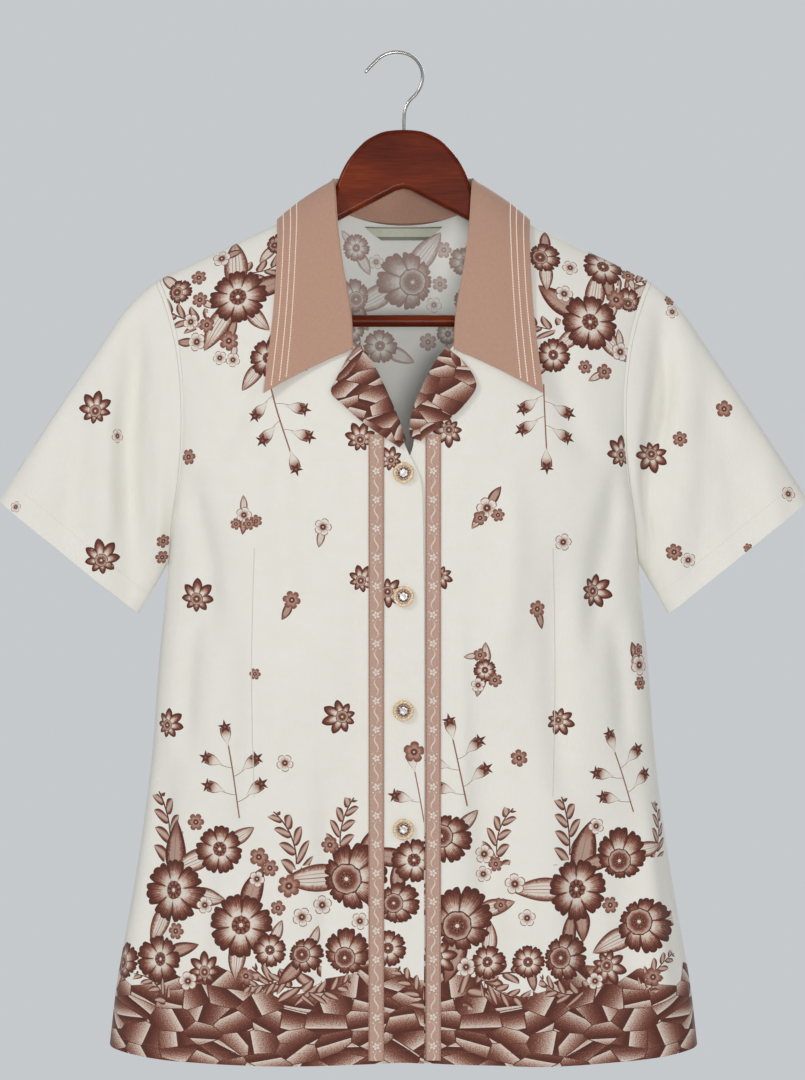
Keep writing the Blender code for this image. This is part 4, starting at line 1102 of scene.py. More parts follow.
def button_material():
    """Moulded button, by the radius from its middle: an amber rim with pale swirls, a brown sunk ring with
    small dots, and a pearly flower of six petals in the middle. u and v of its cut are X and Z from there."""
    material = new_material("amber button", Roughness=0.28, Coat_Weight=0.5, Coat_Roughness=0.1)
    place = cut_place()
    u, v, _ = split(place)
    across, along = u * 1000.0, v * 1000.0
    r = (across * across + along * along) ** 0.5
    turn = along.turn_to(across) / (2 * math.pi)
    off = zigzag(turn * 6.0)
    flower = r < 3.5 * (1.0 - off * off * 0.35)
    lines = (off > 0.8) * (r > 0.9) * 0.6
    dots = (((turn * 14.0).fract() - 0.5).abs() < 0.22) * ((r - 4.6).abs() < 0.42)
    cloud = noise(place, 420.0, 3.0, Distortion=1.5)
    rim = ramp(cloud, (0.35, (190, 148, 106)), (0.65, (236, 214, 178)))
    sunk = ramp(cloud, (0.3, (82, 46, 30)), (0.75, (130, 82, 56)))
    pearl = ramp(cloud, (0.3, (168, 160, 152)), (0.7, (232, 229, 225)))
    pale = (flower * (1.0 - lines)).most(dots * 0.7).clamp()
    inner = mixed_colour(pale, sunk, pearl)
    return painted(material, Base_Color=mixed_colour(r > 5.4, inner, rim))


def label_material():
    """Bare satin: pale grey-green, painted lengthwise sheen, darker border lines at its long edges, the lower
    also painted shadow.
    """
    material = new_material("satin label", Roughness=0.45, Sheen_Weight=0.4)
    place = cut_place()
    v = split(place)[1]
    # A darker line near both long edges: a border, and at the lower edge also painted shadow under the label.
    edge = (v < LABEL_BORDER_AND_SHADOW_LINE).most(v > LABEL_DEEP - LABEL_BORDER_AND_SHADOW_LINE) * 0.6
    # Fine lengthwise streaks of lighter colour: painted sheen.
    tone = noise(stretched(place, 200, 3500, 1), 1.0).most(0.0) - edge
    colour = ramp(tone, (0.0, (104, 106, 88)), (0.3, (178, 182, 160)), (0.7, (206, 208, 188)))
    return painted(material, Base_Color=colour)


CREASES_FRONT = table(
    "x0 z0 x1 z1 bend width depth",
    (-176, -330, -150, -470, 6, 11, 2.6), (-160, -420, -172, -560, -5, 10, 2.2),
    (-118, -440, -126, -640, 4, 12, -2.0), (-98, -300, -84, -470, -4, 13, 2.2),
    (-60, -560, -66, -770, 3, 12, 2.4), (-140, -620, -150, -790, 3, 13, -2.2),
    (-192, -560, -205, -770, 4, 12, 2.4), (-34, -420, -30, -560, 3, 8, 1.6),
    (176, -330, 150, -480, -6, 11, 2.8), (162, -430, 176, -560, 4, 10, 2.0),
    (120, -400, 128, -600, -4, 12, 2.2), (84, -330, 76, -500, 4, 13, -1.8),
    (66, -580, 74, -780, -3, 12, 2.2), (140, -610, 150, -780, -3, 13, 2.4),
    (196, -570, 208, -770, -4, 12, -2.0), (40, -440, 44, -620, 3, 8, -1.4),
    (-120, -230, -150, -330, 6, 12, 1.6), (120, -230, 150, -330, -6, 12, 1.6),
)
CREASES_BACK = table(
    "x0 z0 x1 z1 bend width depth",
    (-170, -320, -120, -460, 8, 13, 2.6), (170, -320, 120, -460, -8, 13, 2.6),
    (-90, -420, -110, -640, 5, 14, 2.4), (70, -400, 92, -620, -5, 14, -2.2), (0, -360, 8, -560, 4, 15, 2.0),
    (-30, -560, -44, -780, 4, 14, 2.6), (120, -560, 138, -780, -4, 13, 2.6),
    (-180, -540, -196, -770, 5, 12, 2.2), (60, -200, 20, -280, 5, 13, 1.6),
    (-60, -200, -20, -280, -5, 13, 1.6),
)
CREASES_SLEEVE = table(
    "x0 z0 x1 z1 bend width depth",
    (-207, -205, -216, -402, -9, 10, 8.0), (-232, -240, -240, -405, 5, 12, -3.0),
    (-262, -300, -276, -398, 3, 11, 2.6), (-292, -330, -306, -385, 2, 9, -2.0),
    (-190, -300, -196, -400, 3, 8, -2.6), (200, -185, 198, -320, 6, 9, 10.0),
    (194, -300, 197, -404, -3, 9, 7.5), (222, -225, 226, -402, 5, 14, -3.2),
    (250, -285, 262, -402, 4, 11, 3.0), (284, -325, 300, -388, 2, 10, -2.4),
)


def ray_y(panel, x, z):
    """The Y where a line along Y from the front through each (x, z) meets a panel. Where it misses, the Y of
    the panel's nearest point is taken."""
    x, z = np.broadcast_arrays(np.asarray(x, float), np.asarray(z, float))
    found = np.empty(x.shape)
    for i in np.ndindex(x.shape):
        spot = panel.tree.ray_cast(Vector((x[i], -400.0, z[i])), Vector((0.0, 1.0, 0.0)))[0]
        found[i] = (spot or panel.tree.find_nearest(Vector((x[i], -50.0, z[i])))[0]).y
    return found


class Panel:
    """One cloth panel: its fine grid, its normals, a search tree of its faces and the object made of them."""

    def __init__(self, name, grid, normals, materials, ring=False):
        self.name, self.grid, self.normals = name, grid, normals
        index = np.arange(grid.size // 3).reshape(grid.shape[:2])
        self.tree = BVHTree.FromPolygons(grid.reshape(-1, 3).tolist(), cells(index).reshape(-1, 4).tolist())
        self.piece = shell(name, grid, CLOTH, materials, normals, ring)


def make_panels(fronts, back, body_cloth, sleeve_cloth):
    """The five printed panels: their smooth shape on a fine grid, with the worn creases pressed in. Creases
    fade at the seams, at the shoulder and, on the fronts, where the ribbons and the buttons lie."""
    panels = {}
    for name, coarse, creases, outward in (
        ("blouse_front_right", fronts[0], CREASES_FRONT, (0, -1, 0)),
        ("blouse_front_left", fronts[1], CREASES_FRONT, (0, -1, 0)),
        ("blouse_back", back, CREASES_BACK, (0, 1, 0)),
    ):
        grid = refine(coarse)
        out = np.abs(grid[..., 0])
        reach = out / np.maximum(out[:, [0, -1]].max(axis=1, keepdims=True), 1)
        room = (1 - ease(0.9, 0.995, reach)) * (1 - ease(*SHOULDER_CALM, grid[..., 2]))
        if creases is CREASES_FRONT:
            room = room * ease(*TRIM_CALM, out)
        grid = crease(grid, creases, outward_normals(grid, outward), room * CREASE_DEPTH)
        panels[name] = Panel(name, grid, outward_normals(grid, outward), body_cloth)
    for name, side_x in (("blouse_sleeve_right", -1), ("blouse_sleeve_left", 1)):
        grid = refine(sleeve_grid(side_x), ring=True)
        share = np.linspace(0, 1, len(grid))[:, None]
        room = ease(0.03, 0.3, share) * np.clip(np.abs(grid[..., 1]) / 9, 0, 1)
        grid = crease(grid, CREASES_SLEEVE, tube_normals(grid), room)
        panels[name] = Panel(name, grid, tube_normals(grid), sleeve_cloth, ring=True)
    return panels


BORDER_FRONT = table(
    "px py wide leaves",
    (174, 890, 64, 3), (220, 849, 50, 2), (241, 925, 64, 2), (161, 959, 48, 1), (356, 876, 66, 3),
    (307, 956, 36, 2), (347, 951, 46, 1), (448, 840, 50, 2), (463, 918, 64, 3), (528, 962, 34, 1),
    (576, 889, 64, 3), (621, 853, 52, 2), (646, 927, 58, 2), (567, 958, 48, 1), (414, 860, 45, 2),
    (400, 903, 42, 1), (126, 960, 36, 1), (690, 962, 38, 1), (487, 962, 36, 1), (206, 968, 34, 0),
    (610, 968, 36, 0), (388, 948, 38, 1), (440, 958, 36, 0), (270, 950, 34, 1),
)
FLORETS_FRONT = table(
    "px py wide",
    (259, 857, 20), (270, 868, 18), (257, 879, 17), (289, 886, 24), (302, 917, 20), (278, 908, 16),
    (176, 931, 18), (188, 981, 20), (246, 976, 18), (360, 921, 18), (484, 854, 20), (496, 864, 16),
    (483, 874, 17), (515, 884, 22), (527, 918, 18), (501, 905, 16), (466, 967, 20), (595, 981, 18),
    (653, 977, 20), (205, 905, 18), (322, 905, 20), (432, 888, 18), (610, 905, 18), (196, 822, 18),
    (596, 826, 17), (330, 845, 18),
)
SCATTER_FRONT = table(
    "px py wide leaves",
    (590, 322, 58, 4), (238, 297, 60, 4), (553, 355, 36, 1), (603, 267, 44, 2), (268, 358, 38, 2),
    (181, 292, 26, 1), (545, 258, 34, 2), (564, 294, 19, 0), (628, 300, 26, 1), (620, 352, 20, 1),
    (191, 322, 18, 0), (207, 325, 17, 0), (197, 342, 20, 1), (229, 341, 21, 1), (220, 358, 15, 0),
    (233, 360, 15, 1), (199, 278, 17, 0), (222, 259, 20, 1), (278, 244, 24, 1), (200, 300, 17, 1),
    (634, 330, 17, 0), (604, 372, 17, 1), (570, 268, 17, 0), (585, 367, 15, 0), (628, 276, 16, 1),
    (189, 457, 17, 0), (323, 527, 18, 1), (198, 595, 34, 0), (292, 600, 19, 1), (338, 717, 34, 0),
    (170, 723, 30, 0), (285, 763, 18, 0), (255, 674, 12, 0), (363, 578, 28, 0), (391, 593, 30, 0),
    (360, 436, 30, 0), (447, 433, 30, 0), (389, 458, 25, 0), (244, 515, 17, 2), (256, 521, 13, 0),
    (236, 524, 12, 0), (487, 508, 22, 2), (498, 515, 14, 0), (563, 542, 18, 0), (537, 609, 18, 1),
    (596, 591, 34, 0), (485, 670, 24, 2), (495, 680, 15, 0), (519, 758, 18, 0), (561, 722, 28, 0),
    (639, 665, 22, 1), (640, 683, 15, 0), (638, 650, 14, 1), (620, 451, 32, 0), (441, 578, 24, 0),
    (616, 300, 22, 1), (414, 752, 22, 0), (480, 655, 14, 1), (478, 685, 15, 0), (249, 524, 13, 0),
    (480, 518, 15, 0),
)
SLEEVES_FRONT = table(
    "px py wide leaves",
    (95, 407, 34, 0), (117, 436, 15, 0), (102, 556, 36, 0), (16, 507, 12, 0), (163, 541, 15, 0),
    (162, 557, 15, 0), (146, 601, 13, 0), (652, 458, 32, 0), (680, 439, 16, 0), (724, 409, 18, 0),
    (674, 552, 18, 0), (688, 560, 16, 0), (788, 494, 16, 0), (748, 548, 10, 0), (669, 301, 12, 0),
    (672, 312, 14, 0),
)
SPRAYS_FRONT = (
    (270, 384, 291, 452, (0.3, 0.22), (0.42, -0.24), (0.66, 0.22), (0.8, -0.2)),
    (544, 384, 546, 450, (0.3, 0.22), (0.4, -0.24), (0.62, 0.24), (0.76, -0.22)),
    (240, 818, 228, 745, (0.35, 0.25), (0.45, -0.25), (0.7, 0.24), (0.82, -0.22)),
    (424, 822, 414, 768, (0.35, 0.28), (0.5, -0.28), (0.8, 0.26)),
    (467, 806, 453, 738, (0.3, -0.25), (0.42, 0.25), (0.66, -0.25), (0.82, 0.24)),
    (633, 812, 614, 750, (0.3, -0.26), (0.45, 0.25), (0.68, -0.25), (0.84, 0.24)),
)
SPRAYS_BACK = (
    (-150, -640, -158, -580, (0.35, 0.25), (0.5, -0.25), (0.8, 0.24)),
    (-30, -640, -20, -578, (0.35, -0.25), (0.5, 0.25), (0.8, -0.24)),
    (90, -636, 80, -576, (0.35, 0.25), (0.5, -0.25), (0.8, 0.24)),
    (186, -632, 190, -574, (0.35, -0.25), (0.5, 0.25), (0.8, -0.24)),
    (-108, -280, -98, -332, (0.35, 0.25), (0.5, -0.25), (0.8, 0.24)),
    (108, -286, 98, -338, (0.35, -0.25), (0.5, 0.25), (0.8, -0.24)),
)
INSIDE_BACK = table(
    "px py wide leaves",
    (404, 281, 60, 2), (356, 248, 30, 2), (352, 296, 36, 1), (444, 250, 18, 0), (440, 284, 17, 0),
    (434, 305, 17, 0), (462, 262, 30, 1), (380, 346, 36, 1), (428, 342, 19, 0), (448, 334, 24, 1),
    (376, 262, 16, 0), (466, 300, 26, 1), (352, 330, 26, 1),
)
SPRIGS_FRONT = table(
    "px py wide turn",
    (165, 822, 62, 12), (347, 822, 50, -16), (566, 826, 58, 8), (505, 832, 50, -20), (285, 838, 56, 24),
    (655, 826, 50, -8), (270, 262, 48, -60), (640, 288, 46, -70), (530, 318, 46, 60), (178, 312, 50, 65),
    (300, 352, 40, 200), (282, 976, 62, 74), (262, 984, 40, 100), (498, 982, 60, -72), (510, 990, 44, -104),
    (410, 985, 44, 40), (330, 985, 44, -70), (665, 968, 40, -50), (150, 985, 40, 60), (560, 985, 44, 66),
)
BACK_FLOWERS = table(
    "x z wide leaves",
    (-196, -668, 50, 3), (-150, -702, 46, 2), (-104, -662, 52, 3), (-58, -712, 40, 2), (-16, -672, 50, 3),
    (34, -702, 48, 2), (80, -664, 44, 2), (124, -706, 52, 3), (170, -668, 46, 3), (204, -712, 38, 1),
    (-186, -736, 34, 1), (-92, -742, 36, 1), (8, -744, 36, 1), (104, -742, 32, 1), (-130, -640, 34, 2),
    (56, -632, 32, 2), (-118, -252, 46, 3), (118, -258, 48, 3), (-90, -218, 30, 1), (92, -214, 28, 1),
    (-148, -292, 28, 2), (146, -300, 30, 2), (-30, -262, 26, 2), (36, -330, 24, 1), (-70, -390, 28, 1),
    (70, -440, 26, 0), (-130, -470, 20, 1), (10, -470, 18, 1), (140, -520, 27, 0), (-50, -560, 26, 1),
    (60, -560, 18, 1), (-150, -560, 18, 0), (-10, -618, 16, 0), (108, -390, 18, 1), (-20, -410, 15, 0),
    (-100, -600, 16, 1), (168, -440, 16, 1), (-170, -420, 16, 0), (100, -600, 16, 0),
)
BACK_SPRIGS = table(
    "x z wide turn",
    (-172, -630, 44, 10), (-80, -628, 42, -14), (14, -628, 44, 12), (104, -628, 42, -10),
    (186, -630, 42, 14), (-90, -284, 38, 120), (92, -290, 38, -120), (-60, -230, 36, -80),
    (60, -226, 36, 80),
)
SLEEVE_BACK_FLOWERS = table(
    "x z wide leaves",
    (228, -262, 26, 1), (262, -318, 28, 2), (214, -340, 20, 1), (290, -352, 24, 0), (232, -398, 26, 1),
    (262, -372, 16, 0), (206, -390, 14, 0),
)
# The seed of a spray's main stem, the (share along it, step aside) of its last bell, how far below a bell its
# own stem starts, and a bell's reach.
MAIN_STEM = 0.52
SPRAY_TIP = (1.12, 0.0)
FOOT_BELOW = 0.13
BELL_REACH = 10.0
# Up to these widths a flower has longer leaves, is a floret and, with no leaves, is a star.
SMALL, FLORET_WIDE, STAR_WIDE = 22.0, 18.5, 30.0
BACK_FLORETS = 22


def seed_of(a, b):
    """A number from 0 to 0.99 that looks random, the same for the same place each time."""
    return (math.sin(a * 12.9898 + b * 78.233) * 43758.5453) % 1.0 * 0.99


class Print:
    """Four layers of motif places for every face corner of the printed panels."""

    LAYERS = 4

    def __init__(self, panels):
        self.sheets = []
        for panel in panels.values():
            mesh = panel.piece.data
            corners = read(mesh.vertices, "co", 3)[read(mesh.polygons, "vertices", 4, np.int32)] / MM
            inner = read(mesh.polygons, "material_index", 1, np.int32) != 0
            self.sheets.append({
                "name": panel.name, "mesh": mesh, "corners": corners, "middle": corners.mean(axis=1),
                "outward": read(mesh.polygons, "normal", 3) * np.where(inner, -1.0, 1.0),
                "used": np.zeros(len(corners), int),
                "places": np.zeros((self.LAYERS, len(corners), 4, 3), np.float32),
            })

    def stamp(self, found, reach, kind, seed, turn=0.0):
        """Lays one motif at a found place: over the faces of its sheet within its reach that face the same
        way, above what is there. Where a face has all its layers in use, the lowest one goes."""
        point, normal, name = found
        side, rise = flat_axes(normal, turn)
        sheet = next(sheet for sheet in self.sheets if sheet["name"] == name)
        near = np.linalg.norm(sheet["middle"] - point, axis=1) < reach * 1.15 + 4.0
        faces = np.flatnonzero(near & (sheet["outward"] @ normal > 0.15))
        rel = (sheet["corners"][faces] - point) / reach
        x, y = rel @ side, rel @ rise
        spare = 2.5 / reach
        if kind in (FLOWER, FLORET, STAR):
            inside = np.hypot(x, y).min(axis=1) < 1.0 + spare
        else:
            wide = 0.5 if kind == STEM else 0.55
            inside = (np.abs(x).min(axis=1) < wide + spare) & (np.abs(y).min(axis=1) < 1.0 + spare)
        faces, x, y = faces[inside], x[inside], y[inside]
        full = faces[sheet["used"][faces] >= self.LAYERS]
        sheet["places"][:-1, full] = sheet["places"][1:, full]
        sheet["used"][full] -= 1
        sheet["places"][sheet["used"][faces], faces] = xyz(x, y, kind + 0.9 * seed)
        sheet["used"][faces] += 1

    def write(self):
        """Writes each layer of each sheet to its mesh."""
        for sheet in self.sheets:
            for layer, places in enumerate(sheet["places"]):
                made = sheet["mesh"].attributes.new(f"p{layer}", "FLOAT_VECTOR", "CORNER")
                made.data.foreach_set("vector", places.ravel())


class Spot:
    """Finds a place on the blouse, as its point, its outward direction and its panel's name."""

    def __init__(self, panels):
        self.trees = {name: panel.tree for name, panel in panels.items()}

    def at_pixel(self, px, py, names):
        """The place on these panels that a photograph pixel shows."""
        eye = Vector((0.0, -CAMERA_AWAY / MM, (ORIGIN_PY - MIDDLE_PY) * PIXEL))
        aim = Vector(((px - CENTRE_PX) * PIXEL, 0.0, (ORIGIN_PY - py) * PIXEL)) - eye
        return self.first_hit(eye, aim.normalized(), names)

    def from_behind(self, x, z, names):
        """The place on these panels at this X and Z, seen from behind."""
        return self.first_hit(Vector((x, 500.0, z)), Vector((0.0, -1.0, 0.0)), names)

    def first_hit(self, start, aim, names):
        """The nearest place that a line meets. The back's print is on its outside, also where it is seen from
        the front."""
        hits = [(self.trees[name].ray_cast(start, aim), name) for name in names]
        hits = [(hit, name) for hit, name in hits if hit[0] is not None]
        if not hits:
            return None
        (point, normal, _, _), name = min(hits, key=lambda item: item[0][3])
        outward = Vector((0.0, 1.0, 0.0)) if name == "blouse_back" else -aim
        return np.array(point), np.array(normal if normal.dot(outward) >= 0 else -normal), name


def flat_axes(normal, turn):
    """Two axes across a direction, the first level and the second upward, turned by this many degrees."""
    side = unit(np.cross((0.0, 0.0, 1.0), normal))
    rise = np.cross(normal, side)
    c, s = math.cos(math.radians(turn)), math.sin(math.radians(turn))
    return c * side + s * rise, c * rise - s * side


def draw_print(panels):
    """Lays every motif: sprigs and sprays first, then each flower's leaves, then flowers, largest first, and
    florets last."""
    ink, spot = Print(panels), Spot(panels)
    fronts, back = ("blouse_front_right", "blouse_front_left"), ("blouse_back",)
    sleeves = ("blouse_sleeve_right", "blouse_sleeve_left")

    def found_from(rows, names, mirrors=(1,)):
        """Each row of a table that has a place on the blouse: the place, the width in millimetres, the row's
        last value and its two coordinates."""
        pixels = "px" in rows
        for across, up, wide, *more in zip(*rows.values()):
            for mirror in mirrors:
                find = spot.at_pixel if pixels else spot.from_behind
                found = find(across * mirror, up, names)
                if found:
                    yield found, wide * PIXEL if pixels else wide, more[0] if more else 0, across * mirror, up

    def direction(start, end):
        """The way from one place to another and its turn from the side, in degrees."""
        way = end[0] - start[0]
        return way, math.degrees(math.atan2(way[2], way[0]))

    def stalk(start, end, seed):
        """A stem from one place to another."""
        way, turn = direction(start, end)
        ink.stamp(((start[0] + end[0]) / 2, *end[1:]), np.linalg.norm(way) / 2, STEM, seed, turn - 90.0)

    def leaf(found, reach, turn, length, seed):
        """A leaf that grows out of a flower's edge at this turn from the side."""
        point, normal, name = found
        middle = point + flat_axes(normal, turn)[0] * (reach * 0.75 + length * 0.72)
        ink.stamp((middle, normal, name), length, LEAF, seed, turn - 90.0)

    for table_of, names in ((SPRIGS_FRONT, fronts), (BACK_SPRIGS, back)):
        for found, wide, turn, across, up in found_from(table_of, names):
            ink.stamp(found, wide / 2, SPRIG, seed_of(across, up), turn)

    for rows, find, names in ((SPRAYS_FRONT, spot.at_pixel, fronts), (SPRAYS_BACK, spot.from_behind, back)):
        for root_x, root_y, end_x, end_y, *bells in rows:
            end = find(end_x, end_y, names)
            run_x, run_y = end_x - root_x, end_y - root_y
            stalk(find(root_x, root_y, names), end, MAIN_STEM)
            for share, sidestep in (SPRAY_TIP, *bells):
                x = root_x + run_x * share - run_y * sidestep
                y = root_y + run_y * share + run_x * sidestep
                low = share - FOOT_BELOW
                bell = find(x, y, end[2:])
                foot = find(root_x + run_x * low, root_y + run_y * low, end[2:])
                if bell and foot:
                    stalk(foot, bell, 0.7 if sidestep > 0 else 0.3)
                    way, turn = direction(foot, bell)
                    place = bell[0] + unit(way) * 2.0
                    ink.stamp((place, *bell[1:]), BELL_REACH, BELL, seed_of(x, y), turn + 90.0)

    blooms = [
        *found_from(BORDER_FRONT, fronts), *found_from(SCATTER_FRONT, fronts),
        *found_from(SLEEVES_FRONT, sleeves), *found_from(INSIDE_BACK, back),
        *found_from(BACK_FLOWERS, back), *found_from(SLEEVE_BACK_FLOWERS, sleeves, mirrors=(-1, 1)),
    ]
    blooms.sort(key=lambda bloom: -bloom[1])
    for found, wide, leaves, across, up in blooms:
        seed = seed_of(across, up)
        for i in range(int(leaves)):
            turn = 360.0 * (seed * 3.1 + i / max(leaves, 1)) + 25.0 * math.sin(40.0 * seed + i)
            length = (0.34 + 0.08 * math.sin(17.0 * seed + 2 * i)) * wide if wide > SMALL else 0.45 * wide
            leaf(found, wide / 2, turn, length, (seed * 7 + i * 0.37) % 1.0 * 0.99)
    for found, wide, leaves, across, up in blooms:
        seed = seed_of(across, up)
        kind = FLORET if wide < FLORET_WIDE else STAR if wide < STAR_WIDE and not leaves else FLOWER
        ink.stamp(found, wide / 2, kind, seed, 360 * seed)

    florets = list(found_from(FLORETS_FRONT, fronts))
    for i in range(BACK_FLORETS):
        across = -205.0 + i * 19.5 + 6 * math.sin(i * 2.3)
        up = -690.0 + 42 * math.sin(i * 1.9 + 0.6)
        florets.append((spot.from_behind(across, up, back), 16.0 + 4 * math.sin(i), 0, across, up))
    for found, wide, _, across, up in florets:
        ink.stamp(found, wide / 2, FLORET, seed_of(across, up), 360 * seed_of(up, across))
    ink.write()


def inset_line(grid, normals, distance, from_top=False):
    """The line at this distance in from a grid's first row, or its last, measured along each column."""
    way = -1 if from_top else 1
    line, out = [], []
    for points, outward in zip(np.swapaxes(grid[::way], 0, 1), np.swapaxes(normals[::way], 0, 1)):
        so_far = running(gaps(points))
        line.append(read_along(distance, so_far, points))
        out.append(read_along(distance, so_far, outward))
    return np.array(line), unit(np.array(out))


def make_collar(fronts, back, cloth, thread):
    """The collar and the three rows of pale stitching round its leaf."""
    grid = refine(collar_grid(fronts, back), 2.6)
    normals = outward_normals(grid, (0.0, 1.0, 0.2), -4)
    piece = shell("blouse_collar", grid, CLOTH, [cloth, cloth], normals)
    rows = []
    for distance in COLLAR_ROWS:
        line, out = inset_line(np.swapaxes(grid, 0, 1), np.swapaxes(normals, 0, 1), distance, from_top=True)
        rows.append((*stitches(line[1:-1], out[1:-1], *COLLAR_ROW), 0))
    return piece, joined("collar_stitching", rows, [thread])


def planar_uv(piece, x, z):
    """Sets a piece's cut map to X and Z from a point in millimetres."""
    mesh = piece.data
    spots = read(mesh.vertices, "co", 3)[read(mesh.loops, "vertex_index", 1, np.int32)[:, 0]]
    spots = spots[:, [0, 2]] - np.float32([x, z]) * MM
    mesh.uv_layers.new(name="cut").data.foreach_set("uv", spots.ravel())


def make_ribbon(name, side_x, panel, start, material, thread):
    """A ribbon laid on a front beside its edge, with a row of stitches near each of its sides."""
    x, z = np.meshgrid((start + RIBBON_ACROSS) * side_x, np.linspace(HEM + RIBBON_HEM_GAP, RIBBON_TOP, 200))
    lift = CLOTH / 2 + LAY_GAP + 0.4 * RIBBON_RISE
    grid = xyz(x, ray_y(panel, x, z) - lift, z)
    normals = outward_normals(grid, (0, -1, 0))
    piece = shell(name, grid, RIBBON_THICK, [material, material], normals)
    rows = [(*stitches(grid[:, k], normals[:, k], *RIBBON_ROW), 0) for k in (1, 5)]
    return piece, joined(name + "_stitching", rows, [thread])


def make_lapel(name, side_x, shape, panel, material):
    """The turned-back top of a front: from behind its edge, round the roll line, and out over its face."""
    roll = np.stack([shape["roll_out"], shape["roll_z"]], axis=-1)
    tip = np.stack([shape["tip_out"], shape["tip_z"]], axis=-1)
    away = unit(tip - roll)
    stand = WALL + LAPEL_GAP
    inside = roll + away * np.minimum(LAPEL_TUCK, 0.6 * np.linalg.norm(tip - roll, axis=-1))[:, None]
    columns = [(inside, stand), (roll, stand * 0.9), (roll - away * ROLL_REACH, 0.0)]
    columns += [(roll + (tip - roll) * share, -lift) for share, lift in LAPEL_LIFTS]
    coarse = []
    for spot, lift in columns:
        x, z = spot[:, 0] * side_x, spot[:, 1]
        coarse.append(xyz(x, ray_y(panel, x, z) + lift, z))
    grid = refine(np.stack(coarse, axis=1), 2.0)
    return shell(name, grid, CLOTH, [material, material], outward_normals(grid, (0, -1, 0), -2))


def make_label(panel, material):
    """The bare neck label, sewn inside the back and a little narrower towards its lower edge."""
    across, z = np.meshgrid(np.linspace(-1, 1, 25), np.linspace(LABEL["z"][0], LABEL["z"][-1], 7))
    x = np.interp(-z, -LABEL["z"], LABEL["half"]) * across
    grid = xyz(x, ray_y(panel, x, z) - LABEL_STAND, z)
    return shell("label", grid, LABEL_THICK, [material, material], outward_normals(grid, (0, -1, 0)))


BUTTON_PROFILE = (
    (0.0, 0.0), (6.6, 0.0), (7.5, 0.3), (8.1, 0.9), (8.2, 1.6), (8.1, 2.3), (7.7, 2.9), (7.1, 3.1),
    (6.5, 3.05), (6.0, 2.7), (5.6, 2.2), (5.2, 2.0), (4.6, 1.95), (4.2, 2.0), (3.9, 2.35), (3.3, 2.6),
    (2.4, 2.7), (1.2, 2.55), (0.0, 2.5),
)


def make_buttons(panel, material):
    """Four turned buttons, each tilted to lie flat on the lap."""
    points, faces = turned(BUTTON_PROFILE, 56)
    pieces = []
    for i, height in enumerate(BUTTON_HEIGHTS):
        low, middle, high = ray_y(panel, 0.0, [height - 8.0, height, height + 8.0])
        tilt = math.atan2(high - low, 16.0)
        seat = min((low + high) / 2, middle + 0.3) - WALL / 2 - LAY_GAP
        c, s = math.cos(tilt), math.sin(tilt)
        x, y, z = points.T
        spots = xyz(x, y * c + z * s + seat, z * c - y * s + height)
        piece = joined(f"blouse_button_{i + 1}", [(spots, faces, 0)], [material], smooth_angle=60)
        planar_uv(piece, 0.0, height)
        pieces.append(piece)
    return pieces


def shoulder_outline():
    """The hanger board's outline as (x, z), clockwise from the middle of its top. Its right half is a smooth
    curve, with straight stretches between the end of the arch's top and the shoulder's end, and along its
    lower edge."""
    top, low = (np.stack(list(rows.values()), -1) for rows in (ARCH_TOP, ARCH_LOW))
    right = np.concatenate([top, low])
    knots = np.arange(len(right), dtype=float)
    at = np.linspace(0, knots[-1], 4 * (len(right) - 1) + 1)
    straight = np.stack([np.interp(at, knots, right[:, k]) for k in (0, 1)], -1)
    soft = (at < len(top) - 3) | ((at > len(top) + 0.5) & (at < len(top) + 4.2))
    curve = np.where(soft[:, None], smooth_through(knots, right, at), straight)
    curve = curve[curve[:, 0] >= -1e-6]
    curve[[0, -1], 0] = 0.0
    return np.concatenate([curve, curve[1:-1][::-1] * (-1, 1)])


def make_shoulders(wood):
    """The hanger's shoulders: a board cut to the outline, its edges rounded by a quarter circle front and
    back."""
    outline = shoulder_outline()
    run = unit(np.roll(outline, -1, axis=0) - outline) + unit(outline - np.roll(outline, 1, axis=0))
    inward = unit(np.stack([run[:, 1], -run[:, 0]], axis=-1))
    for _ in range(3):
        inward = unit(inward + 0.5 * (np.roll(inward, 1, axis=0) + np.roll(inward, -1, axis=0)))
    angles = np.linspace(0, math.pi / 2, 7)
    inset = ARCH_ROUND * (1 - np.cos(angles))
    depth = ARCH_THICK / 2 - ARCH_ROUND * (1 - np.sin(angles))
    inset, depth = np.concatenate([inset[::-1], inset]), np.concatenate([-depth[::-1], depth])
    flat = outline + inward * inset[:, None, None]
    rings = xyz(flat[..., 0], depth[:, None], flat[..., 1])
    index = np.arange(rings.size // 3).reshape(rings.shape[:2])
    faces = [*cells(index, ring=True).reshape(-1, 4).tolist(), index[0, ::-1].tolist(), index[-1].tolist()]
    mesh = bpy.data.meshes.new("hanger_shoulders")
    mesh.from_pydata((rings.reshape(-1, 3) * MM).tolist(), [], faces)
    work = bmesh.new()
    work.from_mesh(mesh)
    bmesh.ops.triangulate(work, faces=[face for face in work.faces if len(face.verts) > 4])
    bmesh.ops.recalc_face_normals(work, faces=work.faces)
    work.to_mesh(mesh)
    work.free()
    piece = placed(mesh, [wood], 40)
    deep = read(mesh.vertices, "co", 3)[:, 1]
    for face in mesh.polygons:
        face.use_smooth = bool(np.ptp(deep[list(face.vertices)]) > 1e-6)
    return piece


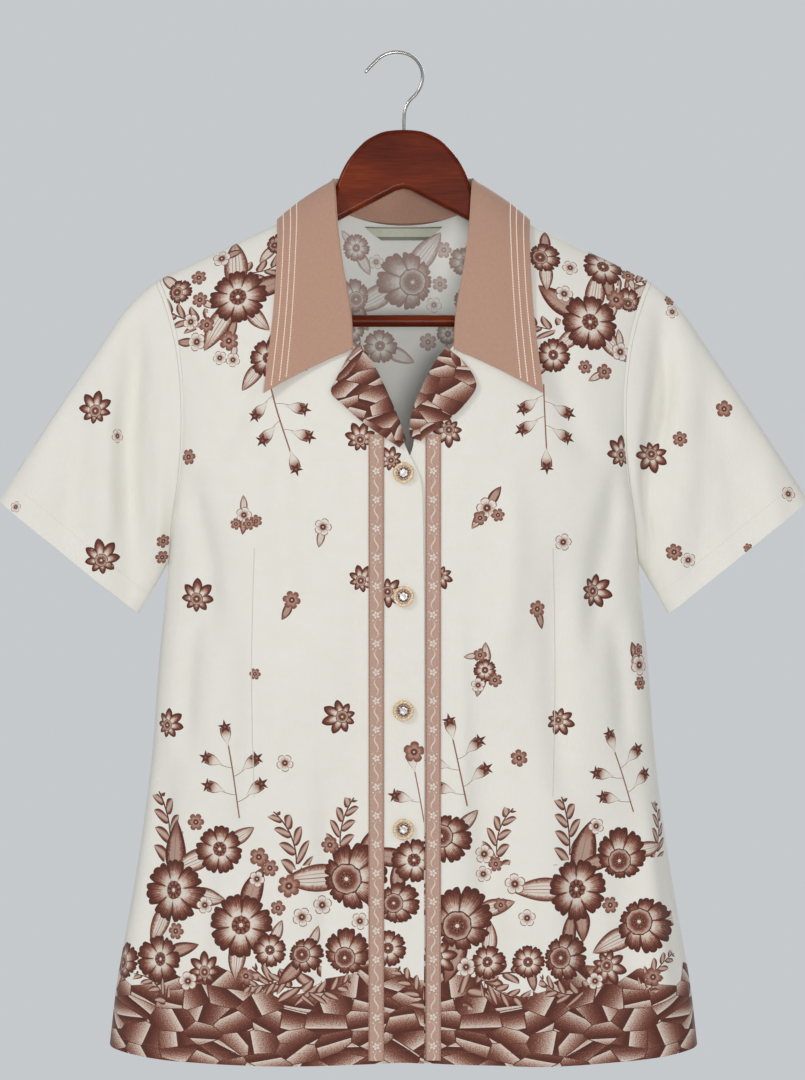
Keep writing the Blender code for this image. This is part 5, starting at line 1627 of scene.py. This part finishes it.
def make_hanger(wood, steel):
    """The hanger: shoulders cut from a board, a dowel bar and a bent wire hook with a tapered end."""
    shoulders = make_shoulders(wood)
    x = np.linspace(0.3 - BAR_SOCKET, BAR_SOCKET - 0.3, 41)
    bar = joined("hanger_dowel", [(*rod(xyz(x, 0.0, BAR_HEIGHT), BAR_RADIUS, 32), 0)], [wood])
    knots = np.linspace(0, 1, len(HOOK["x"]))
    at = np.linspace(0, 1, 8 * (len(knots) - 1) + 1)
    line = xyz(smooth_through(knots, HOOK["x"], at), 0.0, smooth_through(knots, HOOK["z"], at))
    girth = np.full(len(line), WIRE_RADIUS)
    girth[:3] *= HOOK_TAPER
    hook = joined("hanger_wire_hook", [(*rod(line, girth, 20), 0)], [steel])
    return shoulders, bar, hook


def area_light(name, place, aim, size, power, colour=(1, 1, 1)):
    """A square light of this size, aimed at a point."""
    light = bpy.data.lights.new(name, "AREA")
    light.shape, light.size, light.size_y = "RECTANGLE", size, size
    light.energy, light.color = power, colour
    made = bpy.data.objects.new(name, light)
    made.location = place
    made.rotation_euler = (Vector(aim) - Vector(place)).to_track_quat("-Z", "Y").to_euler()
    bpy.context.scene.collection.objects.link(made)


def make_setting():
    """The camera level with the blouse's middle, a grey-blue surround, a pale floor and soft lights."""
    scene = bpy.context.scene
    camera = bpy.data.cameras.new("camera")
    camera.sensor_width = camera.sensor_height = SENSOR
    camera.sensor_fit = "VERTICAL"
    camera.lens = SENSOR * CAMERA_AWAY / (PHOTO_TALL * PIXEL * MM)
    made = bpy.data.objects.new("camera", camera)
    made.location = ((MIDDLE_PX - CENTRE_PX) * PIXEL * MM, -CAMERA_AWAY, (ORIGIN_PY - MIDDLE_PY) * PIXEL * MM)
    made.rotation_euler = (math.pi / 2, 0.0, 0.0)
    scene.collection.objects.link(made)
    scene.camera = made
    scene.view_settings.view_transform = "Standard"
    world = bpy.data.worlds.new("surround")
    scene.world = world
    world.use_nodes = True
    Sum.tree = world.node_tree
    surround = world.node_tree.nodes["Background"]
    surround.inputs["Color"].default_value = colour_of(197, 201, 204)
    seen = Sum(node("LightPath").outputs["Is Camera Ray"])
    fill(surround.inputs["Strength"], SURROUND_LIGHT + seen * (1.0 - SURROUND_LIGHT))
    area_light("key", (-2.1, -2.0, 1.2), (0, 0, -0.4), 0.7, 27, (1.0, 0.985, 0.955))
    area_light("fill", (1.9, -1.9, 0.1), (0, 0, -0.4), 1.4, 4.5)
    area_light("front", (0.2, -2.4, -0.45), (0, 0, -0.25), 0.5, 20, (1.0, 0.98, 0.95))
    area_light("rear", (0.9, 1.9, 0.9), (0, 0, -0.4), 1.2, 22)
    corners = np.array([(-1.8, -1.8, -1.25), (1.8, -1.8, -1.25), (1.8, 1.8, -1.25), (-1.8, 1.8, -1.25)])
    material = new_material("floor", Roughness=0.8, Base_Color=colour_of(205, 207, 208))
    new_mesh("floor", corners / MM, [[0, 1, 2, 3]], [material])


CUTS = (
    ("blouse_front_right", 0.270, 0.710, 0.1424, "hung", "hanger_shoulders"),
    ("blouse_front_left", 0.270, 0.711, 0.1426, "hung", "hanger_shoulders"),
    ("blouse_back", 0.506, 0.698, 0.2820, "hung", "hanger_shoulders"),
    ("blouse_sleeve_right", 0.482, 0.220, 0.0494, "hung", "blouse_front_right"),
    ("blouse_sleeve_left", 0.482, 0.220, 0.0487, "hung", "blouse_front_left"),
    ("blouse_collar", 0.500, 0.120, 0.0369, "folded", "blouse_back"),
    ("blouse_lapel_right", 0.0585, 0.0885, 0.0029, "folded", "blouse_front_right"),
    ("blouse_lapel_left", 0.0525, 0.0785, 0.0028, "folded", "blouse_front_left"),
    ("blouse_ribbon_right", 0.0121, 0.490, None, "hung", "blouse_front_right"),
    ("blouse_ribbon_left", 0.0121, 0.490, None, "hung", "blouse_front_left"),
    ("label", 0.063, 0.0134, 0.0006, "hung", "blouse_back"),
)


def declare_sheets(sewn):
    """Goes through each cloth sheet's cut: its name, width, length, area in metres where it isn't a
    rectangle, how it is held and what holds it. It looks up each sheet and the sewing that goes with it, and
    keeps nothing."""
    for name, width, length, area, held, on in CUTS:
        piece, with_pieces = bpy.data.objects[name], [sewn[name]] if name in sewn else []
        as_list(with_pieces)


def sew_panel(panel, threads):
    """A panel's sewing: a row of stitches above its hem and, as a pressed line, the dart of a front or the
    seam of a sleeve at its armhole."""
    sleeve = "sleeve" in panel.name
    distance = SLEEVE_HEM_STITCH if sleeve else HEM_STITCH
    line, out = inset_line(panel.grid, panel.normals, distance, from_top=sleeve)
    parts = []
    if sleeve:
        line, out = np.concatenate([line, line[:1]]), np.concatenate([out, out[:1]])
        ring = panel.grid[1] + panel.normals[1] * 0.35
        parts.append((*rod(np.concatenate([ring, ring[:1]]), ARMHOLE_CORD, 8), 1))
    elif panel.name != "blouse_back":
        side_x = -1 if panel.name.endswith("right") else 1
        height = np.linspace(*DART_HEIGHTS, 90)
        out_x = side_x * (DART_OUT + DART_BOW * np.sin(np.linspace(0, math.pi, 90)))
        spots = xyz(out_x, ray_y(panel, out_x, height) - CLOTH / 2 + 0.05, height)
        parts.append((*rod(spots, DART_CORD, 8), 1))
    parts.append((*stitches(line, out, *HEM_ROW), 0))
    return joined(panel.name + "_sewing", parts, threads)


def make_blouse():
    """Every piece of the blouse, with its body and its CAD node."""
    group = motif_group()
    body_cloth = [
        cloth_material("printed cloth", group, INK_STOPS),
        cloth_material("printed cloth reverse", group, REVERSE_STOPS_PAINTED_LIGHTER, depth=0.9),
    ]
    sleeve_cloth = [
        cloth_material("printed sleeve", group, INK_STOPS, band=False),
        cloth_material("printed sleeve reverse", group, REVERSE_STOPS_PAINTED_LIGHTER, band=False, depth=0.9),
    ]
    cream = thread_material("cream thread", 214, 208, 194)
    brown = thread_material("brown thread", 128, 88, 74)
    # The seam cords are a little darker than the cream cloth: painted shade along each dart and armhole seam.
    seam = thread_material("pressed seam", 206, 203, 194)

    fronts = placed_front(-1, FRONT_EDGE_RIGHT, False), placed_front(1, FRONT_EDGE_LEFT, True)
    back = back_grid()
    panels = make_panels(fronts, back, body_cloth, sleeve_cloth)
    for name, panel in panels.items():
        finish_piece(panel.piece, "cloth", name.removeprefix("blouse_"))
    draw_print(panels)
    sewn = {}
    for name, panel in panels.items():
        sewn[name] = sew_panel(panel, [cream if "sleeve" in name else brown, seam])
        finish_piece(sewn[name], "cloth")

    pink = thread_material("pale pink thread", 250, 230, 214)
    collar, rows = make_collar(fronts, back, collar_material(), pink)
    finish_piece(collar, "collar_cloth", "collar")
    finish_piece(rows, "collar_cloth")
    sewn["blouse_collar"] = rows
    right, left = panels["blouse_front_right"], panels["blouse_front_left"]
    facets, ribbon = lapel_material(), ribbon_material()
    rose = thread_material("rose thread", 142, 98, 84)
    for side, side_x, shape, panel, start in (
        ("right", -1, LAPEL_RIGHT, right, RIBBON_START_RIGHT),
        ("left", 1, LAPEL_LEFT, left, RIBBON_START_LEFT),
    ):
        lapel = make_lapel(f"blouse_lapel_{side}", side_x, shape, panel, facets)
        finish_piece(lapel, "lapel_cloth", f"lapel_{side}")
        strip, line = make_ribbon(f"blouse_ribbon_{side}", side_x, panel, start, ribbon, rose)
        finish_piece(strip, "ribbon", f"ribbon_{side}")
        finish_piece(line, "ribbon")
        sewn[strip.name] = line
    finish_piece(make_label(panels["blouse_back"], label_material()), "label", "neck_label")
    declare_sheets(sewn)
    for i, piece in enumerate(make_buttons(right, button_material())):
        finish_piece(piece, "button", f"button_{i + 1}")


def finish_hanger():
    """The hanger's three pieces, with their body and nodes."""
    shoulders, bar, hook = make_hanger(wood_material(), steel_material())
    finish_piece(shoulders, "hanger_wood", "hanger_arch")
    finish_piece(bar, "hanger_wood", "hanger_bar")
    finish_piece(hook, "hook_steel", "hanger_hook")


make_setting()
make_blouse()
finish_hanger()
